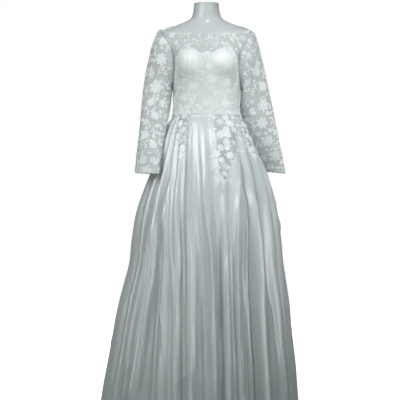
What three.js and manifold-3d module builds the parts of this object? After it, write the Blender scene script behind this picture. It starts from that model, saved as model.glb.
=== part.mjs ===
// A long-sleeved wedding dress on a limbless dress form.
// A strapless sweetheart bodice in satin carries a sheer lace yoke and lace sleeves, and a pleated
// A-line skirt in satin hangs from the waist seam, with lace sprays lying over its top.
// Millimetres, +Z up, the front faces -Y. Left and right in the names are the viewer's: left is -X.
// The origin is on the floor, under the middle of the stand.

import * as THREE from 'three';
import { mergeVertices } from 'three/addons/utils/BufferGeometryUtils.js';
import Module from 'manifold-3d';

const wasm = await Module();
wasm.setup();

// Driving dimensions
const NECK_TOP = 1580; // floor to the flat top of the form's neck
const WAIST = 1134; // floor to the waist seam
const UNDERARM = 1240; // floor to the bottom of the armholes
const SHOULDER_TIP = 1468; // floor to the outer end of the shoulder seams
const SHOULDER_NECK = 1486; // floor to the inner end of the shoulder seams
const HEM = 10; // the hem clears the floor by this much
const FORM_BOTTOM = 870; // floor to the flat underside of the torso

const SEAM = 0.3; // gap between neighbouring pieces
const BODY_GAP = 2.1; // from the form to the inside of the bodice
const SATIN_WALL = 1.8; // satin bodice with its lace laid over it
const YOKE_WALL = 1.2; // sheer lace alone
const SLEEVE_WALL = 1.2;
const SKIRT_WALL = 1.5;
const SPRAY_LIFT = 0.35; // from the satin to the underside of a lace spray
const SPRAY_WALL = 1.3;

const NECK_BASE = 1510; // floor to where the neck leaves the shoulders
const NECK_SLOPE = 0.14; // the cut through the neck is lower at the front

const STAND = {
  baseRadius: 170, baseHeight: 8, poleRadius: 12.5, collarRadius: 38, collarHeight: 16,
};
const BUTTON = { radius: 5.5, height: 4, count: 12, top: 1460, bottom: 1147, sides: 8 };

// The torso's outline at each height: half its width, its depth to the front and to the back of the
// middle, and how square its section is (2 is an ellipse).
const TORSO = [
  { z: FORM_BOTTOM, half: 158, front: 96, back: 110, square: 2.3 },
  { z: 910, half: 169, front: 101, back: 119, square: 2.3 },
  { z: 960, half: 170, front: 103, back: 121, square: 2.3 },
  { z: 1010, half: 163, front: 101, back: 115, square: 2.3 },
  { z: 1060, half: 150, front: 97, back: 104, square: 2.3 },
  { z: 1105, half: 137, front: 93, back: 94, square: 2.3 },
  { z: WAIST, half: 130, front: 91, back: 88, square: 2.3 },
  { z: 1185, half: 127, front: 92, back: 87, square: 2.3 },
  { z: 1240, half: 129, front: 97, back: 93, square: 2.3 },
  { z: 1290, half: 135, front: 103, back: 100, square: 2.3 },
  { z: 1340, half: 143, front: 107, back: 106, square: 2.3 },
  { z: 1375, half: 160, front: 102, back: 108, square: 2.3 },
  { z: 1405, half: 179, front: 91, back: 105, square: 2.3 },
  { z: 1430, half: 187, front: 79, back: 99, square: 2.3 },
  { z: 1450, half: 184, front: 70, back: 91, square: 2.3 },
  { z: 1462, half: 176, front: 64, back: 85, square: 2.3 },
  { z: 1472, half: 162, front: 59, back: 79, square: 2.3 },
  { z: 1482, half: 138, front: 55, back: 73, square: 2.3 },
  { z: 1492, half: 111, front: 52, back: 67, square: 2.25 },
  { z: 1502, half: 87, front: 50, back: 62, square: 2.2 },
  { z: 1514, half: 65, front: 49, back: 57, square: 2.1 },
  { z: 1530, half: 56, front: 48, back: 53, square: 2 },
  { z: 1552, half: 51, front: 48, back: 50, square: 2 },
  { z: 1574, half: 49, front: 47, back: 49, square: 2 },
];
const CUP = { x: 70, z: 1326, lift: 23, wide: 46, above: 62, below: 44 };

// Angle of the armhole seam from the side of the torso, to the front and to the back, in degrees.
const ARMHOLE = [
  { z: WAIST, front: 0, back: 0 },
  { z: UNDERARM, front: 0, back: 0 },
  { z: 1256, front: 13, back: 12 },
  { z: 1278, front: 24, back: 22 },
  { z: 1300, front: 29, back: 28 },
  { z: 1340, front: 34, back: 31 },
  { z: 1380, front: 41, back: 36 },
  { z: 1405, front: 40, back: 34 },
  { z: 1430, front: 33, back: 28 },
  { z: 1450, front: 23, back: 19 },
  { z: 1461, front: 10, back: 9 },
  { z: SHOULDER_TIP, front: 0, back: 0 },
  { z: SHOULDER_NECK, front: 0, back: 0 },
];

// Top edge of the satin and of the yoke, from the middle (0) to the armhole or shoulder (1).
const EDGES = [
  { across: 0, sweetheart: 1358, neckFront: 1448, satinBack: 1318, neckBack: 1474 },
  { across: 0.15, sweetheart: 1367, neckFront: 1448, satinBack: 1318, neckBack: 1474 },
  { across: 0.35, sweetheart: 1384, neckFront: 1449, satinBack: 1320, neckBack: 1475 },
  { across: 0.55, sweetheart: 1388, neckFront: 1452, satinBack: 1323, neckBack: 1477 },
  { across: 0.75, sweetheart: 1375, neckFront: 1460, satinBack: 1326, neckBack: 1480 },
  { across: 0.9, sweetheart: 1352, neckFront: 1475, satinBack: 1329, neckBack: 1484 },
  { across: 1, sweetheart: 1330, neckFront: 1486, satinBack: 1330, neckBack: 1486 },
];

// How far the skirt's ridges reach from the middle of the waist at each height.
const SKIRT = [
  { z: HEM, left: 418, right: 361, front: 376, back: 472 },
  { z: 95, left: 405, right: 355, front: 364, back: 454 },
  { z: 194, left: 387, right: 348, front: 350, back: 434 },
  { z: 308, left: 366, right: 335, front: 330, back: 407 },
  { z: 391, left: 349, right: 328, front: 314, back: 387 },
  { z: 478, left: 327, right: 316, front: 298, back: 362 },
  { z: 561, left: 306, right: 304, front: 280, back: 337 },
  { z: 648, left: 296, right: 296, front: 264, back: 312 },
  { z: 752, left: 278, right: 280, front: 242, back: 277 },
  { z: 829, left: 254, right: 264, front: 221, back: 247 },
  { z: 912, left: 221, right: 237, front: 193, back: 213 },
  { z: 962, left: 205, right: 214, front: 174, back: 190 },
  { z: 1019, left: 186, right: 189, front: 152, back: 161 },
  { z: 1076, left: 165, right: 164, front: 128, back: 132 },
  { z: 1109, left: 149, right: 149, front: 112, back: 113 },
  { z: WAIST, left: 136, right: 136, front: 101, back: 98 },
];
const SKIRT_RINGS = [WAIST, 1113, 1084, 1045, 993, 924, 834, 722, 584, 420, 228, HEM];

// Each ridge of the skirt: its bearing in degrees at the waist, at the hip (z 880), half way down
// (z 500) and at the hem, and how deep the valley after it is at the hem. -90 is the front and
// 0 the side at +X.
const RIDGES = [
  { waist: -170, hip: -169, half: -170, hem: -170, depth: 52 },
  { waist: -154, hip: -150, half: -148, hem: -149, depth: 46 },
  { waist: -144, hip: -138, half: -133, hem: -134, depth: 54 },
  { waist: -134, hip: -127, half: -120, hem: -114, depth: 22 },
  { waist: -125, hip: -118, half: -111, hem: -106, depth: 30 },
  { waist: -115, hip: -107, half: -101, hem: -98, depth: 44 },
  { waist: -98, hip: -91, half: -86, hem: -84.5, depth: 34 },
  { waist: -76, hip: -77, half: -76, hem: -77, depth: 26 },
  { waist: -54, hip: -63, half: -69, hem: -67, depth: 50 },
  { waist: -38, hip: -47, half: -50, hem: -50, depth: 48 },
  { waist: -20, hip: -27, half: -31, hem: -32, depth: 54 },
  { waist: -5, hip: -8, half: -10, hem: -9, depth: 50 },
  { waist: 11, hip: 11, half: 12, hem: 11, depth: 56 },
  { waist: 27, hip: 29, half: 30, hem: 32, depth: 60 },
  { waist: 44, hip: 45, half: 47, hem: 48, depth: 52 },
  { waist: 59, hip: 60, half: 62, hem: 64, depth: 60 },
  { waist: 75, hip: 76, half: 77, hem: 79, depth: 58 },
  { waist: 92, hip: 92, half: 93, hem: 94, depth: 62 },
  { waist: 109, hip: 109, half: 108, hem: 109, depth: 56 },
  { waist: 125, hip: 124, half: 125, hem: 124, depth: 60 },
  { waist: 142, hip: 141, half: 141, hem: 142, depth: 54 },
  { waist: 158, hip: 158, half: 156, hem: 157, depth: 58 },
];
const FOLD_STEPS = 5; // columns of points from one ridge to the next
const FOLD_SEAM = 3; // the column after a ridge where a gore ends, in the valley
const WAIST_PLEAT = 2.4; // depth of the pleats where they are sewn in
const WAIST_STAND_OFF = 6.3; // from the form to the outside of the pleats at the waist seam
const WAIST_YOKE = 1101; // by this height the skirt has its own outline
const RIDGE_HEIGHTS = { waist: WAIST, hip: 880, half: 500, hem: HEM };
const VALLEY_GROWTH = 0.9; // the folds deepen a little faster at the top

// Gores of the skirt, from just past the valley after one ridge to the same place after another.
const GORES = [
  { name: 'skirt_front', from: 4, to: 8 },
  { name: 'skirt_side_right', from: 8, to: 12 },
  { name: 'skirt_back_right', from: 12, to: 17 },
  { name: 'skirt_back_left', from: 17, to: 21 },
  { name: 'skirt_side_left', from: 21, to: 26 },
];

// Lace sprays on the skirt, in ridge numbers: where each starts and ends along the waist seam, and where
// its tip hangs. fall is the height of the tip, and leaves is how many points stand out along each edge.
const SPRAYS = [
  { name: 'spray_front_left', start: 2.3, end: 4.5, tip: 4.1, fall: 958, leaves: 3 },
  { name: 'spray_front_centre', start: 6.8, end: 9.2, tip: 6.9, fall: 842, leaves: 5 },
  { name: 'spray_front_right', start: 9.7, end: 11.3, tip: 9.8, fall: 952, leaves: 3 },
  { name: 'spray_hip_right', start: 12.1, end: 13.6, tip: 12.8, fall: 985, leaves: 1 },
  { name: 'spray_back_right', start: 14.4, end: 16.2, tip: 15.1, fall: 935, leaves: 3 },
  { name: 'spray_back_left', start: 18.2, end: 20.1, tip: 19.2, fall: 945, leaves: 3 },
  { name: 'spray_hip_left', start: 21.0, end: 22.5, tip: 21.7, fall: 985, leaves: 1 },
];

// The two sleeves, ring by ring from the armhole to the cuff: a point on the outer fold, one on the
// inner fold, and half the thickness of the flattened tube. The first row is the armhole itself, and
// join says how far a ring has left the armhole's shape.
const SLEEVE_LEFT = [
  { outer: [-174, 0, 1468], inner: [-131, 0, 1240], half: 70, join: 0 },
  { outer: [-193, -1, 1477], inner: [-139, -1, 1236], half: 71, join: 0.45 },
  { outer: [-208, -2, 1440], inner: [-140, -2, 1227], half: 71, join: 0.75 },
  { outer: [-217, -5, 1398], inner: [-139, -5, 1211], half: 63, join: 1 },
  { outer: [-227, -9, 1350], inner: [-141, -10, 1190], half: 53, join: 1 },
  { outer: [-239, -14, 1295], inner: [-144, -17, 1163], half: 45, join: 1 },
  { outer: [-247, -20, 1235], inner: [-149, -27, 1130], half: 38, join: 1 },
  { outer: [-253, -28, 1172], inner: [-156, -43, 1090], half: 33, join: 1 },
  { outer: [-257, -38, 1106], inner: [-164, -64, 1046], half: 29, join: 1 },
  { outer: [-262, -50, 1042], inner: [-172, -90, 1001], half: 25, join: 1 },
  { outer: [-269, -63, 976], inner: [-178, -112, 953], half: 22, join: 1 },
  { outer: [-274, -77, 910], inner: [-184, -132, 902], half: 20, join: 1 },
];
const SLEEVE_RIGHT = [
  { outer: [174, 0, 1468], inner: [131, 0, 1240], half: 70, join: 0 },
  { outer: [187, 1, 1463], inner: [139, 1, 1236], half: 71, join: 0.35 },
  { outer: [198, 2, 1440], inner: [140, 2, 1227], half: 71, join: 0.75 },
  { outer: [209, 5, 1398], inner: [137, 5, 1211], half: 63, join: 1 },
  { outer: [221, 9, 1350], inner: [135, 8, 1190], half: 53, join: 1 },
  { outer: [234, 14, 1295], inner: [134, 14, 1163], half: 45, join: 1 },
  { outer: [247, 21, 1235], inner: [142, 24, 1130], half: 38, join: 1 },
  { outer: [262, 29, 1172], inner: [152, 40, 1090], half: 33, join: 1 },
  { outer: [276, 39, 1106], inner: [166, 58, 1046], half: 30, join: 1 },
  { outer: [290, 52, 1042], inner: [185, 78, 1001], half: 27, join: 1 },
  { outer: [305, 65, 976], inner: [203, 99, 953], half: 24, join: 1 },
  { outer: [318, 79, 913], inner: [213, 119, 924], half: 22, join: 1 },
];
const CUFF_SCALLOP = 5; // every other point of the cuff hangs lower by this much

// Rows of points, shared by neighbours so that their edges match.
// YOKE_EDGE is the height of each row of the yoke where it meets the armhole or the shoulder seam.
const SATIN_ROWS = 12; // from the waist to the top of the satin
const ARMHOLE_ROW = 6; // the satin row at the underarm
const YOKE_EDGE = [1330, 1362, 1392, 1417, 1437, 1453, 1462, SHOULDER_TIP, 1477, SHOULDER_NECK];
const YOKE_ROWS = YOKE_EDGE.length - 1; // from the satin to the neckline
const YOKE_SHOULDER_ROW = YOKE_EDGE.indexOf(SHOULDER_TIP);
const FRONT_COLUMNS = 20;
const BACK_COLUMNS = 10; // for each half of the back
const FORM_COLUMNS = 32;
const SEAM_RADIUS = 105; // about how far the bodice's upright seams are from the middle

const finishes = {
  satin: new THREE.MeshStandardMaterial({ color: 0xdfe5e4, roughness: 0.38 }),
  lace: new THREE.MeshStandardMaterial({ color: 0xe6eceb, roughness: 0.8 }),
  form: new THREE.MeshStandardMaterial({ color: 0xc6cbcb, roughness: 0.25 }),
  steel: new THREE.MeshStandardMaterial({ color: 0xb9bcbe, roughness: 0.3, metalness: 1 }),
};
for (const finish of Object.values(finishes)) finish.side = THREE.DoubleSide;

const radians = THREE.MathUtils.degToRad;

// Value of one column of a table at a height or place, on a smooth curve through its rows.
function lookUp(table, key, at, column) {
  const rising = table[0][key] < table[table.length - 1][key];
  const rows = rising ? table : [...table].reverse();
  const last = rows.length - 1;
  if (at <= rows[0][key]) return rows[0][column];
  if (at >= rows[last][key]) return rows[last][column];
  let i = 0;
  while (rows[i + 1][key] < at) i += 1;
  const slope = (k) => {
    const a = rows[Math.max(k - 1, 0)];
    const b = rows[Math.min(k + 1, last)];
    return (b[column] - a[column]) / (b[key] - a[key]);
  };
  const width = rows[i + 1][key] - rows[i][key];
  const t = (at - rows[i][key]) / width;
  const rise = t * t * (3 - 2 * t);
  return rows[i][column] * (1 - rise) + rows[i + 1][column] * rise
    + slope(i) * width * t * (1 - t) ** 2 - slope(i + 1) * width * t * t * (1 - t);
}

// Straight interpolation, for edges that turn corners.
function lookUpStraight(table, key, at, column) {
  let i = 0;
  while (i < table.length - 2 && table[i + 1][key] < at) i += 1;
  const t = THREE.MathUtils.clamp((at - table[i][key]) / (table[i + 1][key] - table[i][key]), 0, 1);
  return table[i][column] * (1 - t) + table[i + 1][column] * t;
}

// Point on the torso at a bearing (degrees, -90 is the front) and a height.
function torsoPoint(bearing, z) {
  const half = lookUp(TORSO, 'z', z, 'half');
  const power = 2 / lookUp(TORSO, 'z', z, 'square');
  const c = Math.cos(radians(bearing));
  const s = Math.sin(radians(bearing));
  const deep = lookUp(TORSO, 'z', z, s < 0 ? 'front' : 'back');
  const x = half * Math.sign(c) * Math.abs(c) ** power;
  let y = deep * Math.sign(s) * Math.abs(s) ** power;
  if (s < 0) {
    const drop = (z - CUP.z) / (z > CUP.z ? CUP.above : CUP.below);
    const side = (Math.abs(x) - CUP.x) / CUP.wide;
    y -= CUP.lift * Math.exp(-drop * drop - side * side);
  }
  return new THREE.Vector3(x, y, z);
}

// Point at a distance off the torso.
function offTorso(bearing, z, distance) {
  const turn = 1;
  const rise = 2;
  const along = torsoPoint(bearing + turn, z).sub(torsoPoint(bearing - turn, z));
  const up = torsoPoint(bearing, z + rise).sub(torsoPoint(bearing, z - rise));
  const normal = along.cross(up).normalize();
  return torsoPoint(bearing, z).addScaledVector(normal, distance);
}

// Closed body from a list of points and triangles, turned so that its faces point out.
function body(points, triangles) {
  const position = new Float32Array(points.flatMap((p) => [p.x, p.y, p.z]));
  let volume = 0;
  for (const [a, b, c] of triangles) {
    volume += points[a].dot(new THREE.Vector3().crossVectors(points[b], points[c]));
  }
  const facing = volume > 0 ? triangles : triangles.map(([a, b, c]) => [a, c, b]);
  const geometry = new THREE.BufferGeometry();
  geometry.setAttribute('position', new THREE.BufferAttribute(position, 3));
  geometry.setIndex(facing.flat());
  geometry.computeVertexNormals();
  return geometry;
}

// Triangles of a grid whose point k = row * columns + column. Given the points, each square is split
// along its shorter diagonal.
function gridTriangles(rows, columns, closed, points) {
  const found = [];
  const wide = closed ? columns : columns - 1;
  for (let r = 0; r < rows - 1; r += 1) {
    for (let c = 0; c < wide; c += 1) {
      const next = (c + 1) % columns;
      const [p, q] = [r * columns + c, r * columns + next];
      const [s, t] = [(r + 1) * columns + c, (r + 1) * columns + next];
      const other = points && points[q].distanceTo(points[s]) < points[p].distanceTo(points[t]);
      found.push(...(other ? [[p, q, s], [q, t, s]] : [[p, q, t], [p, t, s]]));
    }
  }
  return found;
}

// Cloth wall: the given triangles on an outer and an inner set of points, joined along every edge
// that only one triangle uses.
function wall(outer, inner, triangles) {
  const used = [...new Set(triangles.flat())];
  const place = new Map(used.map((k, i) => [k, i]));
  const count = used.length;
  const points = [...used.map((k) => outer[k]), ...used.map((k) => inner[k])];
  const faces = [];
  const edges = new Map();
  for (const triangle of triangles) {
    const [a, b, c] = triangle.map((k) => place.get(k));
    faces.push([a, b, c], [a + count, c + count, b + count]);
    for (const [p, q] of [[a, b], [b, c], [c, a]]) {
      const back = `${q},${p}`;
      if (edges.has(back)) edges.delete(back);
      else edges.set(`${p},${q}`, [p, q]);
    }
  }
  for (const [p, q] of edges.values()) faces.push([q, p, p + count], [q, p + count, q + count]);
  return body(points, faces);
}

function piece(name, geometry, finish) {
  const mesh = new THREE.Mesh(geometry, finish);
  mesh.name = name;
  return mesh;
}

function centreOf(points) {
  return points.reduce((sum, p) => sum.add(p), new THREE.Vector3()).divideScalar(points.length);
}

// Solid of rings stacked from bottom to top, closed by a flat face at each end.
function stackedRings(rings) {
  const columns = rings[0].length;
  const points = rings.flat();
  const triangles = gridTriangles(rings.length, columns, true);
  for (const first of [0, points.length - columns]) {
    const middle = points.push(centreOf(points.slice(first, first + columns))) - 1;
    for (let c = 0; c < columns; c += 1) {
      const pair = [first + c, first + ((c + 1) % columns)];
      triangles.push(first === 0 ? [pair[1], pair[0], middle] : [pair[0], pair[1], middle]);
    }
  }
  return body(points, triangles);
}

// The form: a smooth torso with a flat neck cap of its own, on a collar, a pole and a round base.
function dressForm() {
  const bearings = Array.from({ length: FORM_COLUMNS }, (_, c) => -90 + (360 * c) / FORM_COLUMNS);
  const capHeight = 5;
  const rim = 3; // rounding of the cap's upper edge
  const neckCut = NECK_TOP - capHeight - SEAM;
  const heights = [
    FORM_BOTTOM, 930, 1010, 1080, WAIST, 1170, 1203, 1233, 1262, 1290, 1315, 1336, 1356,
    1378, 1400, 1420, 1437, 1451, 1463, 1473, 1482, 1491, 1500, 1510, 1524, 1545, neckCut,
  ];
  const { smoothstep } = THREE.MathUtils;
  const sloped = (p) => p.setZ(p.z + p.y * NECK_SLOPE * smoothstep(p.z, NECK_BASE, neckCut));
  const torso = heights.map((z) => bearings.map((b) => sloped(torsoPoint(b, z))));
  const capRing = (z, inset) => bearings.map((b) => {
    const p = torsoPoint(b, neckCut);
    const edge = new THREE.Vector3(p.x, p.y, 0);
    return edge.setLength(edge.length() - inset).setZ(z + p.y * NECK_SLOPE);
  });
  const cap = [
    capRing(neckCut + SEAM, 0), capRing(NECK_TOP - rim, 0),
    capRing(NECK_TOP - rim / 4, rim / 4), capRing(NECK_TOP, rim),
  ];
  return [
    piece('form_torso', stackedRings(torso), finishes.form),
    piece('form_neck_cap', stackedRings(cap), finishes.form),
  ];
}

// Solid of revolution about the Z axis from pairs of radius and height, the first and last on the axis.
function turned(profile, sides) {
  const geometry = new THREE.LatheGeometry(profile.map(([r, z]) => new THREE.Vector2(r, z)), sides);
  return geometry.rotateX(Math.PI / 2);
}

function stand() {
  const sides = { base: 32, pole: 16, collar: 20 };
  const edge = 2; // chamfer round the base
  const { baseRadius, baseHeight, poleRadius, collarRadius, collarHeight } = STAND;
  const collarTop = FORM_BOTTOM - SEAM;
  const collarBottom = collarTop - collarHeight;
  const base = [
    [0, 0], [baseRadius - edge, 0], [baseRadius, edge], [baseRadius, baseHeight - edge],
    [baseRadius - edge, baseHeight], [0, baseHeight],
  ];
  const poleEnds = [baseHeight + SEAM, collarBottom - SEAM];
  const pole = [[0, poleEnds[0]], [poleRadius, poleEnds[0]], [poleRadius, poleEnds[1]], [0, poleEnds[1]]];
  const collar = [
    [0, collarBottom], [poleRadius * 1.6, collarBottom], [collarRadius, collarTop - collarHeight / 3],
    [collarRadius, collarTop], [0, collarTop],
  ];
  return [
    piece('stand_base', turned(base, sides.base), finishes.steel),
    piece('stand_pole', turned(pole, sides.pole), finishes.steel),
    piece('stand_collar', turned(collar, sides.collar), finishes.steel),
  ];
}

// Height of a bodice point: row counts from the waist, then from the satin's top edge to the neckline.
function bodiceHeight(across, row, front) {
  const satinTop = lookUp(EDGES, 'across', across, front ? 'sweetheart' : 'satinBack');
  const neck = lookUp(EDGES, 'across', across, front ? 'neckFront' : 'neckBack');
  if (row <= SATIN_ROWS) {
    const below = Math.min(row / ARMHOLE_ROW, 1);
    const above = Math.max((row - ARMHOLE_ROW) / (SATIN_ROWS - ARMHOLE_ROW), 0);
    const rise = (UNDERARM - WAIST) * below + (YOKE_EDGE[0] - UNDERARM) * above;
    return WAIST + (satinTop - WAIST) * (rise / (YOKE_EDGE[0] - WAIST));
  }
  const share = (YOKE_EDGE[row - SATIN_ROWS] - YOKE_EDGE[0]) / (SHOULDER_NECK - YOKE_EDGE[0]);
  return satinTop + (neck - satinTop) * share;
}

// Bearing of a bodice point: across runs from 0 at the middle to 1 at the side seam, armhole or shoulder.
function bodiceBearing(across, z, front) {
  const edge = lookUpStraight(ARMHOLE, 'z', z, front ? 'front' : 'back');
  const turn = 90 - (90 - edge) * across;
  return front ? -turn : turn;
}

// A panel of the bodice. from and to run from -1 (its left edge) to 1 (its right edge).
function bodicePanel({ name, front, from, to, columns, rows, thick, finish }) {
  const outer = [];
  const inner = [];
  for (let row = rows[0]; row <= rows[1]; row += 1) {
    for (let c = 0; c <= columns; c += 1) {
      const place = from + ((to - from) * c) / columns;
      const across = Math.abs(place);
      let z = bodiceHeight(across, row, front);
      if (row === 0) z += SEAM / 2;
      if (row === SATIN_ROWS) z += rows[0] === SATIN_ROWS ? SEAM : -SEAM;
      const bearing = bodiceBearing(across, z, front);
      const mirrored = place < 0 ? 180 - bearing : bearing;
      const edge = (c === 0 ? 1 : 0) - (c === columns ? 1 : 0);
      const gapTurn = (front ? 1 : -1) * edge * THREE.MathUtils.radToDeg(SEAM / 2 / SEAM_RADIUS);
      outer.push(offTorso(mirrored + gapTurn, z, BODY_GAP + thick));
      inner.push(offTorso(mirrored + gapTurn, z, BODY_GAP));
    }
  }
  const triangles = gridTriangles(rows[1] - rows[0] + 1, columns + 1, false, inner);
  return piece(name, wall(outer, inner, triangles), finish);
}

function bodice() {
  const princess = 0.5; // place of the princess seams, over the cups
  const satin = { rows: [0, SATIN_ROWS], thick: SATIN_WALL, finish: finishes.satin };
  const sheer = { rows: [SATIN_ROWS, SATIN_ROWS + YOKE_ROWS], thick: YOKE_WALL, finish: finishes.lace };
  const half = FRONT_COLUMNS / 2;
  const quarter = FRONT_COLUMNS / 4;
  const panels = [
    { name: 'bodice_centre_front', front: true, from: -princess, to: princess, columns: half, ...satin },
    { name: 'bodice_side_front_left', front: true, from: -1, to: -princess, columns: quarter, ...satin },
    { name: 'bodice_side_front_right', front: true, from: princess, to: 1, columns: quarter, ...satin },
    { name: 'bodice_back_left', front: false, from: -1, to: 0, columns: BACK_COLUMNS, ...satin },
    { name: 'bodice_back_right', front: false, from: 0, to: 1, columns: BACK_COLUMNS, ...satin },
    { name: 'yoke_front', front: true, from: -1, to: 1, columns: FRONT_COLUMNS, ...sheer },
    { name: 'yoke_back_left', front: false, from: -1, to: 0, columns: BACK_COLUMNS, ...sheer },
    { name: 'yoke_back_right', front: false, from: 0, to: 1, columns: BACK_COLUMNS, ...sheer },
  ];
  return panels.map(bodicePanel);
}

// The armhole edge as a closed loop of points off the torso, from the shoulder tip down the front,
// past the underarm and up the back.
function armholeLoop(side, distance) {
  const heights = [];
  for (let row = SATIN_ROWS + YOKE_SHOULDER_ROW; row > ARMHOLE_ROW; row -= 1) heights.push(row);
  const point = (row, front) => {
    const z = bodiceHeight(1, row, front);
    const bearing = bodiceBearing(1, z, front);
    return offTorso(side < 0 ? 180 - bearing : bearing, z, distance);
  };
  return [
    ...heights.map((row) => point(row, true)),
    point(ARMHOLE_ROW, true),
    ...heights.slice(1).reverse().map((row) => point(row, false)),
  ];
}

// Points of a sleeve, ring by ring, at a distance from its inner face.
function sleeveRings(rows, side, distance) {
  const lift = BODY_GAP + SATIN_WALL + 2 * SEAM;
  const loop = armholeLoop(side, lift);
  const normals = armholeLoop(side, lift + 1).map((p, k) => p.sub(loop[k]));
  const centre = centreOf(loop);
  const upright = new THREE.Vector3(0, 0, 1);
  const ring = (row) => {
    const outer = new THREE.Vector3(...row.outer);
    const inner = new THREE.Vector3(...row.inner);
    const middle = outer.clone().add(inner).divideScalar(2);
    const fold = outer.clone().sub(inner).divideScalar(2);
    const level = new THREE.Vector3(fold.x, fold.y, 0).normalize();
    const front = level.cross(upright).multiplyScalar(side * row.half);
    return loop.map((start, k) => {
      const turn = (2 * Math.PI * k) / loop.length;
      const free = middle.clone().addScaledVector(fold, Math.cos(turn));
      return start.clone().lerp(free.addScaledVector(front, Math.sin(turn)), row.join);
    });
  };
  const rings = rows.map(ring);
  // The first ring stops short of the bodice's edge, inside the armhole.
  const shortBy = SLEEVE_WALL + 1.5 * SEAM;
  rings[0] = loop.map((p, k) => {
    const inwards = centre.clone().sub(p).projectOnPlane(normals[k]).normalize();
    return p.clone().addScaledVector(inwards, shortBy);
  });
  rings[rings.length - 1].forEach((p, k) => p.setZ(p.z - (k % 2) * CUFF_SCALLOP));
  const at = (r, k) => rings[r][(k + loop.length) % loop.length];
  return rings.map((points, r) => points.map((p, k) => {
    const down = at(Math.min(r + 1, rings.length - 1), k).clone().sub(at(Math.max(r - 1, 0), k));
    const round = at(r, k + 1).clone().sub(at(r, k - 1));
    const normal = down.cross(round).normalize().multiplyScalar(-side);
    return p.clone().addScaledVector(normal, distance);
  }));
}

function sleeve(name, rows, side) {
  const outer = sleeveRings(rows, side, SLEEVE_WALL).flat();
  const inner = sleeveRings(rows, side, 0).flat();
  const columns = outer.length / rows.length;
  return piece(name, wall(outer, inner, gridTriangles(rows.length, columns, true)), finishes.lace);
}

// Bearing of a ridge at a height. Ridges are numbered on past a full turn.
function ridgeBearing(number, z) {
  const turns = Math.floor(number / RIDGES.length);
  const ridge = RIDGES[number - turns * RIDGES.length];
  const path = Object.entries(RIDGE_HEIGHTS).map(([key, height]) => ({ z: height, bearing: ridge[key] }));
  return lookUp(path, 'z', z, 'bearing') + 360 * turns;
}

// Point on the skirt's outer face. fold is a ridge's number plus the share of the way to the next.
function skirtPoint(fold, z) {
  const number = Math.floor(fold);
  const t = fold - number;
  const bearing = ridgeBearing(number, z) * (1 - t) + ridgeBearing(number + 1, z) * t;
  const fall = (WAIST - z) / (WAIST - HEM);
  const depth = WAIST_PLEAT + (RIDGES[number % RIDGES.length].depth - WAIST_PLEAT) * fall ** VALLEY_GROWTH;
  const valley = depth * (0.5 - 0.5 * Math.cos(2 * Math.PI * t));
  const c = Math.cos(radians(bearing));
  const s = Math.sin(radians(bearing));
  const wide = lookUp(SKIRT, 'z', z, c < 0 ? 'left' : 'right');
  const deep = lookUp(SKIRT, 'z', z, s < 0 ? 'front' : 'back');
  const ridge = offTorso(bearing, WAIST, WAIST_STAND_OFF).setZ(z);
  const free = THREE.MathUtils.smoothstep(WAIST - z, 0, WAIST - WAIST_YOKE);
  ridge.lerp(new THREE.Vector3(wide * c, deep * s, z), free);
  const out = new THREE.Vector3(ridge.x, ridge.y, 0).normalize();
  return ridge.addScaledVector(out, -valley);
}

// Point at a distance off the skirt's outer face.
function offSkirt(fold, z, distance) {
  const step = 0.5 / FOLD_STEPS;
  const rise = 4;
  const along = skirtPoint(fold + step, z).sub(skirtPoint(fold - step, z));
  const up = skirtPoint(fold, Math.min(z + rise, WAIST)).sub(skirtPoint(fold, Math.max(z - rise, HEM)));
  const normal = along.cross(up).normalize();
  return skirtPoint(fold, z).addScaledVector(normal, distance);
}

// Height of a ring as built: the one at the waist stops short of the seam.
function ringHeight(height) {
  return height === WAIST ? height - SEAM / 2 : height;
}

function gore({ name, from, to }) {
  const columns = (to - from) * FOLD_STEPS + 1;
  const nearby = 0.05; // of a fold, to find which way the seam's gap opens
  const grid = (distance) => SKIRT_RINGS.flatMap((height) => Array.from({ length: columns }, (_, c) => {
    const fold = from + (FOLD_SEAM + c) / FOLD_STEPS;
    const edge = (c === 0 ? 1 : 0) - (c === columns - 1 ? 1 : 0);
    const z = ringHeight(height);
    const p = offSkirt(fold, z, distance).setZ(z);
    if (edge === 0) return p;
    const along = skirtPoint(fold + nearby, z).sub(skirtPoint(fold - nearby, z)).normalize();
    return p.addScaledVector(along, edge * SEAM / 2);
  }));
  const triangles = gridTriangles(SKIRT_RINGS.length, columns, false);
  return piece(name, wall(grid(0), grid(-SKIRT_WALL), triangles), finishes.satin);
}

// Outline of a spray as folds and heights: down one edge to the tip and up the other, by way of the
// points of its leaves.
function sprayOutline({ start, end, tip, fall, leaves }) {
  const steps = leaves * 2;
  const top = WAIST + 20; // past the waist, so that the cut is clean there
  const margin = 0.1; // widths are in ridges
  const leafReach = 0.2;
  const edge = (from, side) => Array.from({ length: steps }, (_, k) => {
    const t = k / steps;
    const z = WAIST + (fall - WAIST) * t;
    const leaf = (k % 2) * leafReach * (1 - 0.4 * t);
    return { fold: from + (tip - from) * t ** 1.2 + side * (margin + leaf), z };
  });
  const down = edge(start, -1);
  const up = edge(end, 1).reverse();
  return [{ fold: start, z: top }, ...down, { fold: tip, z: fall - 6 }, ...up, { fold: end, z: top }];
}

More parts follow.
